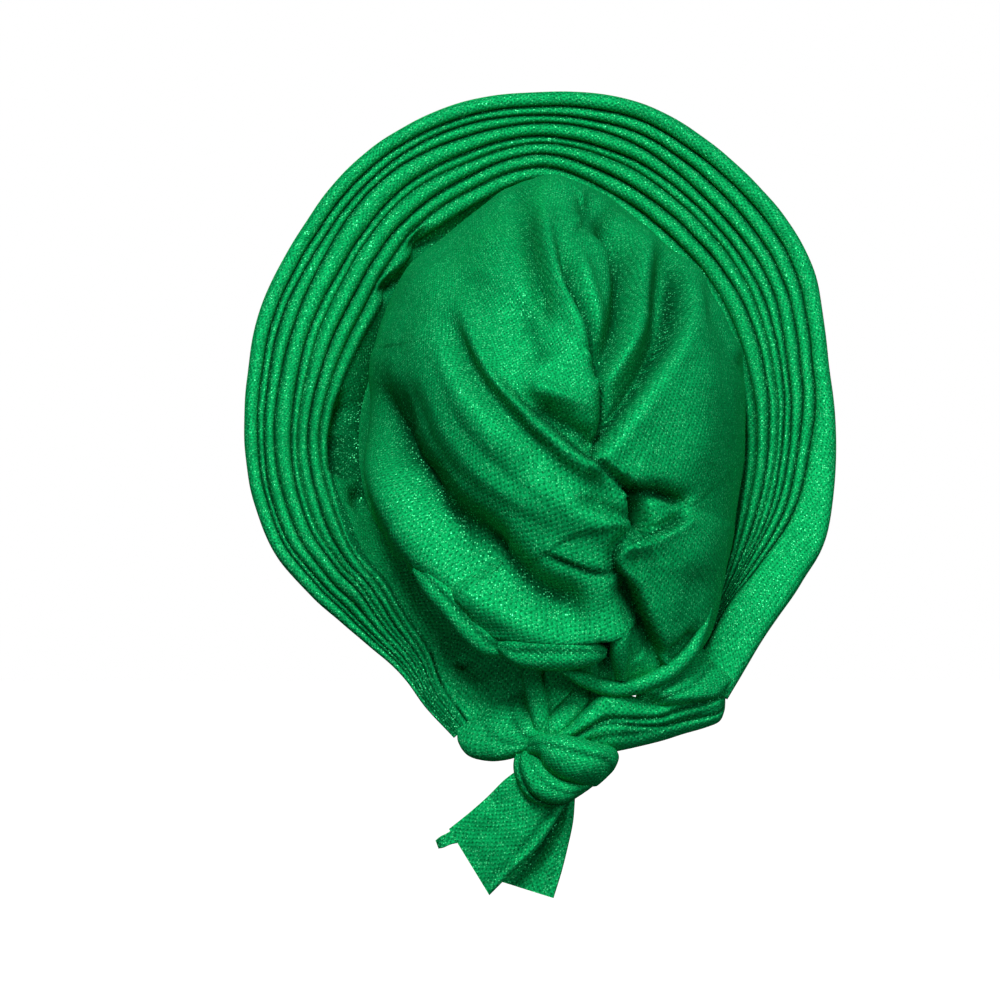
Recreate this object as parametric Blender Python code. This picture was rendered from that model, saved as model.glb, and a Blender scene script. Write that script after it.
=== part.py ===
"""Ready-tied pleated headtie turban: twisted crown, pleated fan, ties, knot and tails."""
import math

import bpy
import numpy as np

# Named sizes, in metres. The wearer faces +Y and +Z is up.
FAN_WIDTH = 0.290
FAN_HEIGHT = 0.314
FAN_LEAN = 0.150
FAN_TOP_Y = 0.080
FAN_TOP_Z = 0.047
FAN_WALL = 0.0028
PLEAT_RISE = 0.0030
CROWN_WIDTH = 0.188
CROWN_HEIGHT = 0.250
CROWN_BACK_Y = -0.119
CROWN_CENTRE_X = 0.006
CROWN_CENTRE_Z = -0.122
CROWN_RECESS = 0.034
HEM_TUCK = 0.006
HEM_LAP = 0.008
NAPE_Y = -0.078
WALL = 0.0022
FOLD_RISE = 0.0080
GAP = 0.0003
KNOT_WIDTH = 0.052
KNOT_HEIGHT = 0.032
KNOT_DEPTH = 0.030
KNOT_DROP = 0.042
KNOT_SIDE = 0.007
KNOT_BEHIND = 0.010
KNOT_TILT = 12
TIE_THICK = 0.015
GATHER_WALL = 0.0026
GATHER_RISE = 0.0030
TAIL_LENGTH = 0.046
TAIL_WIDTH = 0.036
TAIL_WALL = 0.0026

# Numbers of sections and of points along them.
FAN_SECTIONS = 44
FREE_SECTIONS = 5
NAPE_SECTIONS = 10
BAND_POINTS = 5
CROWN_RINGS = 17
SIDE_RINGS = 5
GATHER_FROM = 3
GATHER_TO = 8

# One row for each station of the fan, from its left end over the top to its right end.
# The drops are shares of FAN_HEIGHT below the rim's top, the x values are shares of half the width.
FAN_COLUMNS = ("rim_x", "rim_drop", "pleat_x", "pleat_drop", "pleat_ahead",
               "brow_x", "brow_drop", "brow_lean", "last_roll", "seat")
FAN_ROWS = (
    (-0.29, 1.01, -0.24, 0.99, 0.01, -0.06, 0.94, 1.03, 0.12, 0.80),
    (-0.39, 0.96, -0.33, 0.93, 0.02, -0.17, 0.86, 0.95, 0.12, 0.85),
    (-0.47, 0.91, -0.41, 0.88, 0.03, -0.25, 0.79, 0.85, 0.12, 0.88),
    (-0.57, 0.87, -0.49, 0.82, 0.03, -0.36, 0.74, 0.76, 0.12, 0.88),
    (-0.67, 0.83, -0.55, 0.77, 0.04, -0.45, 0.71, 0.68, 0.12, 0.80),
    (-0.77, 0.79, -0.62, 0.72, 0.05, -0.51, 0.68, 0.61, 0.13, 0.70),
    (-0.91, 0.71, -0.67, 0.65, 0.07, -0.54, 0.63, 0.52, 0.15, 0.60),
    (-0.99, 0.59, -0.71, 0.55, 0.09, -0.54, 0.57, 0.39, 0.16, 0.55),
    (-0.99, 0.45, -0.71, 0.46, 0.09, -0.53, 0.50, 0.27, 0.16, 0.50),
    (-0.92, 0.31, -0.67, 0.36, 0.09, -0.48, 0.45, 0.13, 0.15, 0.45),
    (-0.67, 0.13, -0.50, 0.22, 0.09, -0.34, 0.40, -0.02, 0.13, 0.32),
    (-0.35, 0.03, -0.26, 0.14, 0.08, -0.16, 0.38, -0.10, 0.12, 0.25),
    (0.00, 0.00, 0.00, 0.13, 0.08, 0.00, 0.37, -0.11, 0.12, 0.22),
    (0.36, 0.02, 0.28, 0.14, 0.08, 0.17, 0.38, -0.10, 0.14, 0.25),
    (0.68, 0.12, 0.52, 0.22, 0.09, 0.34, 0.40, -0.02, 0.16, 0.32),
    (0.91, 0.26, 0.68, 0.33, 0.09, 0.48, 0.45, 0.13, 0.18, 0.45),
    (0.98, 0.44, 0.70, 0.45, 0.09, 0.53, 0.50, 0.27, 0.19, 0.50),
    (1.00, 0.56, 0.70, 0.55, 0.08, 0.54, 0.57, 0.39, 0.28, 0.55),
    (0.97, 0.69, 0.68, 0.64, 0.07, 0.54, 0.63, 0.51, 0.42, 0.60),
    (0.88, 0.77, 0.64, 0.73, 0.05, 0.52, 0.69, 0.63, 0.60, 0.65),
    (0.76, 0.85, 0.59, 0.80, 0.03, 0.50, 0.77, 0.77, 0.80, 0.75),
    (0.65, 0.93, 0.52, 0.88, 0.02, 0.45, 0.86, 0.92, 0.90, 0.80),
)

# One row for each crease of the fan: its place between the inner edge of the pleats (0)
# and the last roll (1), at the left end, left side, top, right side and right end, and its depth.
CREASE_COLUMNS = ("left_end", "left", "top", "right", "right_end", "depth")
CREASE_ROWS = (
    (0.08, 0.10, 0.18, 0.16, 0.16, 0.70),
    (0.27, 0.28, 0.33, 0.35, 0.35, 1.00),
    (0.40, 0.42, 0.50, 0.47, 0.47, 0.70),
    (0.53, 0.52, 0.60, 0.57, 0.57, 0.90),
    (0.70, 0.74, 0.80, 0.67, 0.67, 0.90),
    (0.83, 0.92, 0.90, 0.83, 0.83, 1.00),
    (1.00, 1.00, 1.00, 1.00, 1.00, 1.00),
)

# The crown's outline seen from behind: shares of half its width and height from its centre.
OUTLINE_COLUMNS = ("across", "up")
OUTLINE_ROWS = (
    (-0.10, 1.00), (0.04, 1.00), (0.25, 0.95), (0.35, 0.90), (0.55, 0.78), (0.69, 0.67),
    (0.79, 0.56), (0.88, 0.44), (0.97, 0.29), (1.00, 0.14), (0.99, -0.08), (0.95, -0.31),
    (0.92, -0.46), (0.86, -0.69), (0.80, -0.80), (0.72, -0.87), (0.58, -0.93), (0.44, -0.98),
    (0.32, -0.99), (0.20, -0.96), (0.09, -0.92), (-0.04, -0.88), (-0.19, -0.85), (-0.28, -0.80),
    (-0.44, -0.68), (-0.58, -0.55), (-0.77, -0.49), (-0.87, -0.41), (-0.93, -0.25),
    (-0.98, -0.08), (-1.00, 0.10), (-0.99, 0.27), (-0.93, 0.39), (-0.84, 0.53), (-0.74, 0.67),
    (-0.58, 0.77), (-0.43, 0.87), (-0.24, 0.97),
)

# The crown's folds. Points are shares of half the width and height from the crown's centre,
# rise and reach are shares of FOLD_RISE. A step is raised on the left of its own direction.
FOLD_COLUMNS = ("kind", "rise", "reach", "points")
FOLD_ROWS = (
    ("valley", -0.7, 0.7, ((-0.01, 0.82), (0.07, 0.64), (0.15, 0.50), (0.22, 0.39),
                           (0.27, 0.27), (0.28, 0.10), (0.21, -0.07))),
    ("valley", -0.5, 1.0, ((0.34, 0.68), (0.36, 0.53), (0.33, 0.38), (0.28, 0.27))),
    ("ridge", 0.3, 0.8, ((0.05, 0.74), (0.14, 0.60), (0.25, 0.42))),
    ("valley", -0.3, 1.2, ((-0.16, 0.95), (-0.11, 0.84), (0.00, 0.62))),
    ("step", 0.8, 3.2, ((0.21, -0.08), (0.09, -0.01), (-0.11, 0.14), (-0.30, 0.30),
                        (-0.43, 0.47), (-0.46, 0.62), (-0.40, 0.78))),
    ("step", 0.9, 3.0, ((0.52, 0.72), (0.67, 0.58), (0.65, 0.39), (0.54, 0.22),
                        (0.29, 0.00), (0.21, -0.08))),
    ("valley", -0.5, 1.2, ((0.54, 0.53), (0.51, 0.37), (0.41, 0.22), (0.28, 0.06))),
    ("step", 0.5, 2.6, ((0.46, -0.36), (0.45, -0.29), (0.31, -0.18), (0.19, -0.09),
                        (0.11, -0.07))),
    ("valley", -1.2, 0.9, ((0.43, -0.22), (0.46, -0.30), (0.44, -0.38))),
    ("valley", -0.5, 0.7, ((0.39, -0.22), (0.52, -0.21), (0.64, -0.25), (0.66, -0.30))),
    ("ridge", 0.4, 1.0, ((0.68, -0.22), (0.68, -0.29), (0.60, -0.36), (0.48, -0.40),
                         (0.35, -0.43))),
    ("step", 0.7, 2.6, ((0.46, -0.37), (0.35, -0.42), (0.33, -0.47), (0.35, -0.54),
                        (0.41, -0.65), (0.51, -0.86))),
    ("valley", -0.6, 0.8, ((0.31, -0.48), (0.36, -0.61), (0.43, -0.75), (0.48, -0.85))),
    ("valley", -1.0, 1.1, ((-0.89, 0.33), (-0.89, 0.20), (-0.84, 0.04), (-0.77, -0.08),
                           (-0.66, -0.19), (-0.44, -0.35), (-0.21, -0.48), (0.04, -0.62))),
    ("ridge", 0.6, 1.6, ((-0.97, 0.14), (-0.92, -0.06), (-0.81, -0.25), (-0.64, -0.41),
                         (-0.43, -0.55), (-0.17, -0.69), (0.12, -0.77))),
    ("valley", -0.5, 0.7, ((-0.16, -0.76), (0.05, -0.80), (0.32, -0.80))),
    ("valley", -0.8, 0.9, ((-0.45, -0.65), (-0.39, -0.80))),
    ("ridge", 0.5, 0.9, ((0.04, -0.91), (0.20, -0.96), (0.32, -1.00), (0.44, -0.98),
                         (0.58, -0.93), (0.70, -0.87), (0.80, -0.79))),
    ("valley", -0.8, 0.6, ((0.31, -0.82), (0.25, -0.91))),
    ("valley", -0.3, 1.2, ((-0.51, 0.53), (-0.47, 0.29), (-0.30, 0.10), (-0.06, -0.08),
                           (0.12, -0.18))),
    ("ridge", 0.3, 1.6, ((-0.34, -0.14), (-0.17, -0.25), (0.04, -0.33), (0.25, -0.41))),
)

# Sections of the two ties from the fan to the knot: broad is a share of the fan's end edge,
# thick of TIE_THICK, aside and ahead are how far the roll sags, as shares of its own length.
TIE_COLUMNS = ("broad", "thick", "aside", "ahead")
TIE_LEFT_ROWS = (
    (0.98, 0.20, 0.00, 0.00),
    (0.96, 0.70, 0.05, 0.04),
    (0.86, 1.00, 0.08, 0.04),
    (0.64, 0.95, 0.05, 0.02),
    (0.40, 0.70, 0.00, 0.00),
)
TIE_RIGHT_ROWS = (
    (0.98, 0.20, 0.00, 0.00),
    (1.00, 0.70, 0.06, 0.14),
    (0.92, 0.95, 0.10, 0.18),
    (0.82, 1.10, 0.07, 0.10),
    (0.62, 0.90, 0.00, 0.00),
)

# Each way into the knot: the direction out of it, seen from behind, the half breadth there, and
# how far it sinks into the hollows of the wraps, as a share of KNOT_HEIGHT.
ENTRY_COLUMNS = ("across", "back", "up", "half", "sink")
ENTRIES = {
    "tie_left": (-0.75, 0.00, 0.66, 0.0, 0.008),
    "tie_right": (0.55, 0.05, 0.83, 0.0, 0.004),
    "hem_gather": (-0.25, -0.10, 0.97, 0.008, 0.038),
    "tail_front": (-0.60, 0.10, -0.80, 0.0, 0.038),
    "tail_back": (-0.02, -0.25, -0.97, 0.0, 0.003),
}

# The two free ends: breadth as a share of TAIL_WIDTH, and bow as a share of the length.
TAIL_COLUMNS = ("broad", "bow")
TAIL_FRONT_ROWS = ((0.88, 0.00), (0.98, 0.05), (1.08, 0.07), (1.16, 0.05), (1.20, 0.00))
TAIL_BACK_ROWS = ((0.80, 0.00), (0.92, 0.03), (1.00, 0.05), (1.06, 0.04), (1.10, 0.00))

# The cloth's green on each piece, darker where it lies in shade.
SHADES = {
    "pleated_fan": (0.0, 0.24, 0.085, 1.0),
    "crown": (0.0, 0.27, 0.09, 1.0),
    "hem_gather": (0.0, 0.23, 0.08, 1.0),
    "tie_left": (0.0, 0.26, 0.09, 1.0),
    "tie_right": (0.0, 0.25, 0.085, 1.0),
    "tie_knot": (0.0, 0.25, 0.09, 1.0),
    "tail_front": (0.0, 0.27, 0.095, 1.0),
    "tail_back": (0.0, 0.24, 0.08, 1.0),
}


def column(rows, names, name):
    """One named column of a table."""
    return np.array([row[names.index(name)] for row in rows], float)


def smooth(points, count):
    """Points at even steps along a soft curve through the given ones."""
    points = np.asarray(points, float)
    ends = np.vstack([2 * points[0] - points[1], points, 2 * points[-1] - points[-2]])
    spans = len(points) - 1
    place = np.linspace(0, spans, count)
    index = np.minimum(place.astype(int), spans - 1)
    t = (place - index)[:, None]
    a, b, c, d = (ends[index + k] for k in range(4))
    return 0.5 * (2 * b + (c - a) * t + (2 * a - 5 * b + 4 * c - d) * t ** 2
                  + (3 * b - a - 3 * c + d) * t ** 3)


def unit(vectors):
    """Vectors scaled to length one."""
    return vectors / np.maximum(np.linalg.norm(vectors, axis=-1, keepdims=True), 1e-12)


def normals(grid, closed=False):
    """Directions square to a grid of points."""
    if closed:
        down = np.roll(grid, -1, 0) - np.roll(grid, 1, 0)
    else:
        down = np.gradient(grid, axis=0)
    return unit(np.cross(down, np.gradient(grid, axis=1)))


def fan_stations(count):
    """The fan's table at even steps of its length, as a dictionary of columns."""
    table = smooth(FAN_ROWS, count)
    return {name: table[:, i] for i, name in enumerate(FAN_COLUMNS)}


def fan_edges(count):
    """The rim, the pleats' inner edge and the brow edge of the fan."""
    row = fan_stations(count)
    half = FAN_WIDTH / 2
    rim_y = FAN_TOP_Y - FAN_LEAN * row["rim_drop"]
    rim = np.stack([half * row["rim_x"], rim_y, FAN_TOP_Z - FAN_HEIGHT * row["rim_drop"]], 1)
    pleat = np.stack([half * row["pleat_x"], rim_y + FAN_LEAN * row["pleat_ahead"],
                      FAN_TOP_Z - FAN_HEIGHT * row["pleat_drop"]], 1)
    brow = np.stack([half * row["brow_x"], FAN_TOP_Y - FAN_LEAN * row["brow_lean"],
                     FAN_TOP_Z - FAN_HEIGHT * row["brow_drop"]], 1)
    return rim, pleat, brow, row


def crease_places(count):
    """The creases' places at each station, and their depths."""
    marks = np.linspace(0, 1, 5)
    along = np.linspace(0, 1, count)
    places = [np.interp(along, marks, crease[:5]) for crease in CREASE_ROWS]
    return np.stack(places, 1), column(CREASE_ROWS, CREASE_COLUMNS, "depth")


def fan_middle(count):
    """The fan's middle surface, its directions to the back and the rise of its rolls."""
    rim, pleat, brow, row = fan_edges(count)
    places, depth = crease_places(count)
    shares = [places[:, 0] * 0.5]
    rises = [np.full(count, 0.6)]
    for i in range(places.shape[1]):
        shares.append(places[:, i])
        rises.append(np.full(count, -depth[i]))
        if i + 1 < places.shape[1]:
            shares.append((places[:, i] + places[:, i + 1]) / 2)
            rises.append(np.full(count, 0.9))
    shares = np.stack(shares, 1) * (1 - row["last_roll"])[:, None]
    last = 1 - row["last_roll"][:, None] * np.array([[0.62, 0.30, 0.0]])
    shares = np.hstack([shares, last])
    rises = np.hstack([np.stack(rises, 1), np.tile([[0.75, 1.0, 0.1]], (count, 1))])
    band = np.linspace(0, 1, BAND_POINTS)[None, :, None]
    bow = 0.10 * np.sin(np.pi * band) * np.linalg.norm(pleat - brow, axis=1)[:, None, None]
    smooth_part = brow[:, None] + (pleat - brow)[:, None] * band + bow * np.array([0, 0.6, 0.4])
    pleats = pleat[:, None] + (rim - pleat)[:, None] * shares[:, :, None]
    middle = np.concatenate([smooth_part, pleats], 1)
    rises = np.hstack([np.zeros((count, BAND_POINTS)), rises])
    return middle, normals(middle), rises


def fan_sides(count):
    """The back and front surfaces of the fan."""
    middle, out, rises = fan_middle(count)
    wave = out * rises[:, :, None] * PLEAT_RISE / 2
    thick = np.where(np.arange(middle.shape[1]) < BAND_POINTS, WALL, FAN_WALL)
    wall = out * thick[None, :, None] / 2
    return middle + wave + wall, middle + wave - wall


def on_band(count):
    """Where the crown's front edge meets the back of the fan, and the direction to the back."""
    middle, out, rises = fan_middle(count)
    seat = fan_stations(count)["seat"]
    place = (1 - seat) * (BAND_POINTS - 1)
    low = place.astype(int)
    share = (place - low)[:, None]
    rows = np.arange(count)
    point = middle[rows, low] * (1 - share) + middle[rows, low + 1] * share
    way = unit(out[rows, low] * (1 - share) + out[rows, low + 1] * share)
    return point + way * (WALL / 2 + GAP), way


def outline_at(angles):
    """The crown's outline seen from behind, at angles from the top towards the right."""
    x = column(OUTLINE_ROWS, OUTLINE_COLUMNS, "across") * CROWN_WIDTH / 2
    z = column(OUTLINE_ROWS, OUTLINE_COLUMNS, "up") * CROWN_HEIGHT / 2
    found = np.arctan2(x, z)
    order = np.argsort(found)
    reach = np.interp(angles, found[order], np.hypot(x, z)[order], period=2 * np.pi)
    return np.stack([reach * np.sin(angles), reach * np.cos(angles)], 1)


def behind_band(points, count):
    """Points of the free hem, kept behind the fan's flat end wherever that lies under them."""
    middle = fan_middle(count)[0].reshape(-1, 3)
    for point in points:
        away = np.hypot(middle[:, 0] - point[0], middle[:, 2] - point[2])
        limit = (middle[:, 1] + 0.5 * np.maximum(away - HEM_LAP, 0)).min() - 1.6 * HEM_TUCK
        point[1] = min(point[1], limit)
    return points


def crown_meridians(count, nape):
    """The outline points and end points of the crown's lines from its middle outwards."""
    end, way = (part[FREE_SECTIONS:] for part in on_band(count))
    seated = len(end)
    centre = np.array([CROWN_CENTRE_X, CROWN_CENTRE_Z])
    angles = np.unwrap(np.arctan2(end[:, 0] - centre[0], end[:, 2] - centre[1]))
    share = np.linspace(0, 1, nape + 2)[1:-1]
    nape_angles = angles[-1] + (angles[0] + 2 * np.pi - angles[-1]) * share
    every = np.concatenate([angles, nape_angles])
    flat = outline_at(np.arctan2(np.sin(every), np.cos(every)))
    away = np.abs(np.arctan2(np.sin(every), np.cos(every))) / np.pi
    recess = HEM_TUCK + (CROWN_RECESS - HEM_TUCK) * np.clip((0.86 - away) / 0.30, 0, 1)
    across = end[-1, 1] + (end[0, 1] - end[-1, 1]) * share
    across = across + (NAPE_Y + HEM_TUCK - across) * np.sin(np.pi * share) ** 0.5
    edge_y = np.concatenate([end[:, 1], across])
    side = np.stack([flat[:, 0] + centre[0], edge_y - recess, flat[:, 1] + centre[1]], 1)
    side[seated:] = behind_band(side[seated:], count)
    tucked = side[seated:] + np.array([0, HEM_TUCK, HEM_TUCK / 3])
    ends = np.vstack([end, tucked])
    ways = np.vstack([way, np.tile([0.0, -1.0, 0.0], (nape, 1))])
    return side, ends, ways


def crown_base(count, nape, rings, side_rings):
    """The crown's outer surface without its folds: one row for each line outwards."""
    side, ends, ways = crown_meridians(count, nape)
    pole = np.array([CROWN_CENTRE_X, CROWN_BACK_Y, CROWN_CENTRE_Z])
    turn = np.linspace(0, np.pi / 2, rings + 1)[1:]
    swing = np.sin(turn)[None, :, None] ** 0.94
    depth = (1 - np.cos(turn))[None, :, None]
    dome = pole + (side - pole)[:, None] * np.where([True, False, True], swing, depth)
    t = np.linspace(0, 1, side_rings + 1)[1:][None, :, None]
    length = np.linalg.norm(ends - side, axis=1)[:, None, None]
    start = side[:, None] + np.zeros_like(t)
    lean = np.array([0.0, 1.0, 0.0]) * length
    heading = -ways[:, None] * length
    flank = ((2 * t ** 3 - 3 * t ** 2 + 1) * start + (t ** 3 - 2 * t ** 2 + t) * lean
             + (3 * t ** 2 - 2 * t ** 3) * ends[:, None] + (t ** 3 - t ** 2) * heading)
    grid = np.concatenate([dome, flank], 1)
    out = normals(grid, closed=True)
    return pole, grid, out


def view_points(points):
    """Points of a fold, laid on the crown's dome."""
    flat = smooth(points, 5 * len(points))
    x = flat[:, 0] * CROWN_WIDTH / 2
    z = flat[:, 1] * CROWN_HEIGHT / 2
    edge = outline_at(np.arctan2(x, z))
    share = np.minimum(np.hypot(x, z) / np.hypot(edge[:, 0], edge[:, 1]), 0.999)
    swing = share ** (1 / 0.94)
    return x, z, np.sqrt(1 - swing ** 2)


def fold_lift(kind, away, side, share):
    """How a fold lifts the cloth at a distance from its line."""
    if kind == "step":
        raised = 1 / (1 + np.exp(-side / 0.12))
        return raised * np.exp(-np.maximum(side, 0) / share) - 0.25 * np.exp(-(side / 0.5) ** 2)
    return np.exp(-(away / share) ** 2)


def crown_folds(grid, out):
    """The lift of the crown's folds at each of its points."""
    centre = np.array([CROWN_CENTRE_X, CROWN_CENTRE_Z])
    lift = np.zeros(grid.shape[:2])
    flat = grid[:, :, [0, 2]] - centre
    for kind, rise, reach, points in FOLD_ROWS:
        x, z, rest = view_points(points)
        line = np.stack([x, z], 1)
        step = line[1:] - line[:-1]
        size = np.maximum((step ** 2).sum(1), 1e-12)
        gap = flat[:, :, None] - line[None, None, :-1]
        t = np.clip((gap * step).sum(-1) / size, 0, 1)
        near = gap - t[..., None] * step
        away = np.sqrt((near ** 2).sum(-1))
        best = away.argmin(-1)
        pick = np.take_along_axis
        least = pick(away, best[..., None], -1)[..., 0]
        turn = step[best][..., 0] * pick(gap, best[..., None, None], 2)[..., 0, 1]
        turn = turn - step[best][..., 1] * pick(gap, best[..., None, None], 2)[..., 0, 0]
        along = (best + pick(t, best[..., None], -1)[..., 0]) / len(step)
        fade = np.clip(np.minimum(along, 1 - along) * 6 + 0.15, 0, 1)
        sign = np.where(turn >= 0, 1.0, -1.0)
        ends = np.exp(-(least / (reach * FOLD_RISE)) ** 2)
        inner = (along > 0.001) & (along < 0.999)
        keep = np.where(inner, 1.0, ends)
        lift += rise * fade * keep * fold_lift(kind, least / FOLD_RISE,
                                               sign * least / FOLD_RISE, reach)
    return lift * FOLD_RISE


def crown_sides(count, nape):
    """The crown's outer and inner surfaces, each with its middle point."""
    pole, grid, out = crown_base(count, nape, CROWN_RINGS, SIDE_RINGS)
    lift = crown_folds(grid, out)
    ring = np.arange(grid.shape[1])
    fade = np.clip((CROWN_RINGS - ring) / 2.5, 0, 1)
    outer = grid + out * (lift * fade)[:, :, None]
    inner = outer - out * WALL
    mid = crown_folds(pole[None, None], out[:1, :1])[0, 0]
    top = pole - np.array([0, mid, 0])
    return outer, inner, top, top + np.array([0, WALL, 0])


def stitch(grid, first, closed):
    """Faces over a grid whose first point has the given index."""
    rows, cols = grid.shape[:2]
    faces = []
    for i in range(rows if closed else rows - 1):
        for j in range(cols - 1):
            a = first + i * cols + j
            b = first + ((i + 1) % rows) * cols + j
            faces.append((a, b, b + 1, a + 1))
    return faces


def flipped(faces):
    """The same faces, facing the other way."""
    return [tuple(reversed(face)) for face in faces]


def sheet_body(back, front):
    """A closed sheet between two grids of points."""
    rows, cols = back.shape[:2]
    size = rows * cols
    faces = stitch(back, 0, False) + flipped(stitch(front, size, False))
    ring = [i * cols for i in range(rows)]
    ring += [(rows - 1) * cols + j for j in range(1, cols)]
    ring += [i * cols + cols - 1 for i in range(rows - 2, -1, -1)]
    ring += list(range(cols - 2, 0, -1))
    for a, b in zip(ring, ring[1:] + ring[:1]):
        faces.append((b, a, a + size, b + size))
    return np.concatenate([back.reshape(-1, 3), front.reshape(-1, 3)]), faces


def bowl_body(outer, inner, outer_top, inner_top):
    """A closed bowl between two grids that run out from a middle point."""
    rows, cols = outer.shape[:2]
    size = rows * cols
    faces = stitch(outer, 0, True) + flipped(stitch(inner, size, True))
    for i in range(rows):
        k = (i + 1) % rows
        faces.append((2 * size, k * cols, i * cols))
        faces.append((2 * size + 1, size + i * cols, size + k * cols))
        a = i * cols + cols - 1
        b = k * cols + cols - 1
        faces.append((a, b, b + size, a + size))
    points = np.concatenate([outer.reshape(-1, 3), inner.reshape(-1, 3), [outer_top], [inner_top]])
    return points, faces


def tube_body(rings):
    """A closed roll of cloth through rings of points, with flat ends."""
    count, around = rings.shape[:2]
    faces = []
    for i in range(count - 1):
        for j in range(around):
            a = i * around + j
            b = i * around + (j + 1) % around
            faces.append((a, b, b + around, a + around))
    first = count * around
    ends = [rings[0].mean(0), rings[-1].mean(0)]
    for j in range(around):
        k = (j + 1) % around
        faces.append((first, k, j))
        faces.append((first + 1, first - around + j, first - around + k))
    return np.concatenate([rings.reshape(-1, 3), ends]), faces


def knot_centre():
    """The middle of the knot, below and behind the crown's hem."""
    side = crown_meridians(FAN_SECTIONS, NAPE_SECTIONS)[0]
    back = side[-NAPE_SECTIONS:, 1].min()
    return np.array([CROWN_CENTRE_X + KNOT_SIDE, back - KNOT_BEHIND,
                     side[:, 2].min() - KNOT_DROP])


def knot_turn():
    """The knot's tilt, as a matrix."""
    lean = math.radians(KNOT_TILT)
    return np.array([[math.cos(lean), 0, math.sin(lean)], [0, 1, 0],
                     [-math.sin(lean), 0, math.cos(lean)]])


def knot_surface(turns, rings):
    """The knot's lump of wrapped cloth, with the groove between its two wraps."""
    size = np.array([KNOT_WIDTH, KNOT_DEPTH, KNOT_HEIGHT]) / 2
    theta = np.linspace(0, 2 * np.pi, turns, endpoint=False)[:, None]
    phi = np.linspace(0, np.pi, rings + 2)[1:-1][None, :]
    way = np.stack([np.sin(phi) * np.cos(theta), np.sin(phi) * np.sin(theta),
                    np.cos(phi) + 0 * theta], -1)
    groove = np.abs(way[..., 2] - 0.25 * way[..., 0] + 0.10)
    swell = 1 - 0.20 * np.exp(-(groove / 0.20) ** 2) - 0.01 * (1 - np.cos(5 * theta)) / 2
    points = way * size * swell[..., None]
    poles = np.array([[0, 0, size[2]], [0, 0, -size[2]]])
    return knot_centre() + points @ knot_turn(), knot_centre() + poles @ knot_turn()


def knot_entry(name):
    """Where a piece meets the knot and the direction out of the knot there."""
    way = unit(np.array(ENTRIES[name][:3]) * np.array([1, -1, 1]))
    size = np.array([KNOT_WIDTH, KNOT_DEPTH, KNOT_HEIGHT]) / 2
    local = knot_turn() @ way
    reach = math.sqrt(((local * size) ** 2).sum())
    touch = (local * size ** 2 / reach) @ knot_turn()
    sink = ENTRIES[name][ENTRY_COLUMNS.index("sink")] * KNOT_HEIGHT
    return knot_centre() + touch + way * (GAP - sink), way


def lump_body(points, poles):
    """A closed lump between two poles."""
    rows, cols = points.shape[:2]
    faces = flipped(stitch(points, 0, True))
    first = rows * cols
    for i in range(rows):
        k = (i + 1) % rows
        faces.append((first, i * cols, k * cols))
        faces.append((first + 1, k * cols + cols - 1, i * cols + cols - 1))
    return np.concatenate([points.reshape(-1, 3), poles]), faces


def fan_end(right):
    """The end edge of the fan: its middle, its direction, its length and the way onwards."""
    sides = np.concatenate(fan_sides(FAN_SECTIONS), 1)
    last, before = (sides[-1], sides[-2]) if right else (sides[0], sides[1])
    middle = fan_middle(FAN_SECTIONS)[0][-1 if right else 0]
    edge = middle[-1] - middle[0]
    length = np.linalg.norm(edge)
    edge = edge / length
    onward = (last - before).mean(0)
    onward = unit(onward - edge * (onward @ edge))
    centre = (middle[-1] + middle[0]) / 2
    reach = ((last - centre) @ onward).max()
    return centre + onward * (reach + 2 * GAP), edge, length, onward


def tie_rings(name, rows, right, count, around):
    """The rings of the rolled tie from the fan's end edge to the knot."""
    start, edge, length, onward = fan_end(right)
    end, way = knot_entry(name)
    table = smooth(rows, count)
    t = np.linspace(0, 1, count)[:, None]
    span = np.linalg.norm(end - start)
    path = ((2 * t ** 3 - 3 * t ** 2 + 1) * start + (t ** 3 - 2 * t ** 2 + t) * onward * span
            + (3 * t ** 2 - 2 * t ** 3) * end - (t ** 3 - t ** 2) * way * span)
    path = path + (edge * table[:, 2:3] + np.array([0, 1.0, 0]) * table[:, 3:4]) * span
    heading = unit(np.gradient(path, axis=0))
    heading[0] = onward
    heading[-1] = -way
    across = unit(edge * (1 - t) + t * unit(edge - way * (edge @ way)))
    across = unit(across - heading * (across * heading).sum(1)[:, None])
    deep = np.cross(heading, across)
    turn = np.linspace(0, 2 * np.pi, around, endpoint=False)
    broad = np.sign(np.cos(turn)) * np.abs(np.cos(turn)) ** 0.8
    thick = np.sin(turn) * (1 + 0.10 * np.cos(4 * turn))
    return (path[:, None] + across[:, None] * (broad * table[:, 0:1] * length / 2)[..., None]
            + deep[:, None] * (thick * table[:, 1:2] * TIE_THICK / 2)[..., None])


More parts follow.
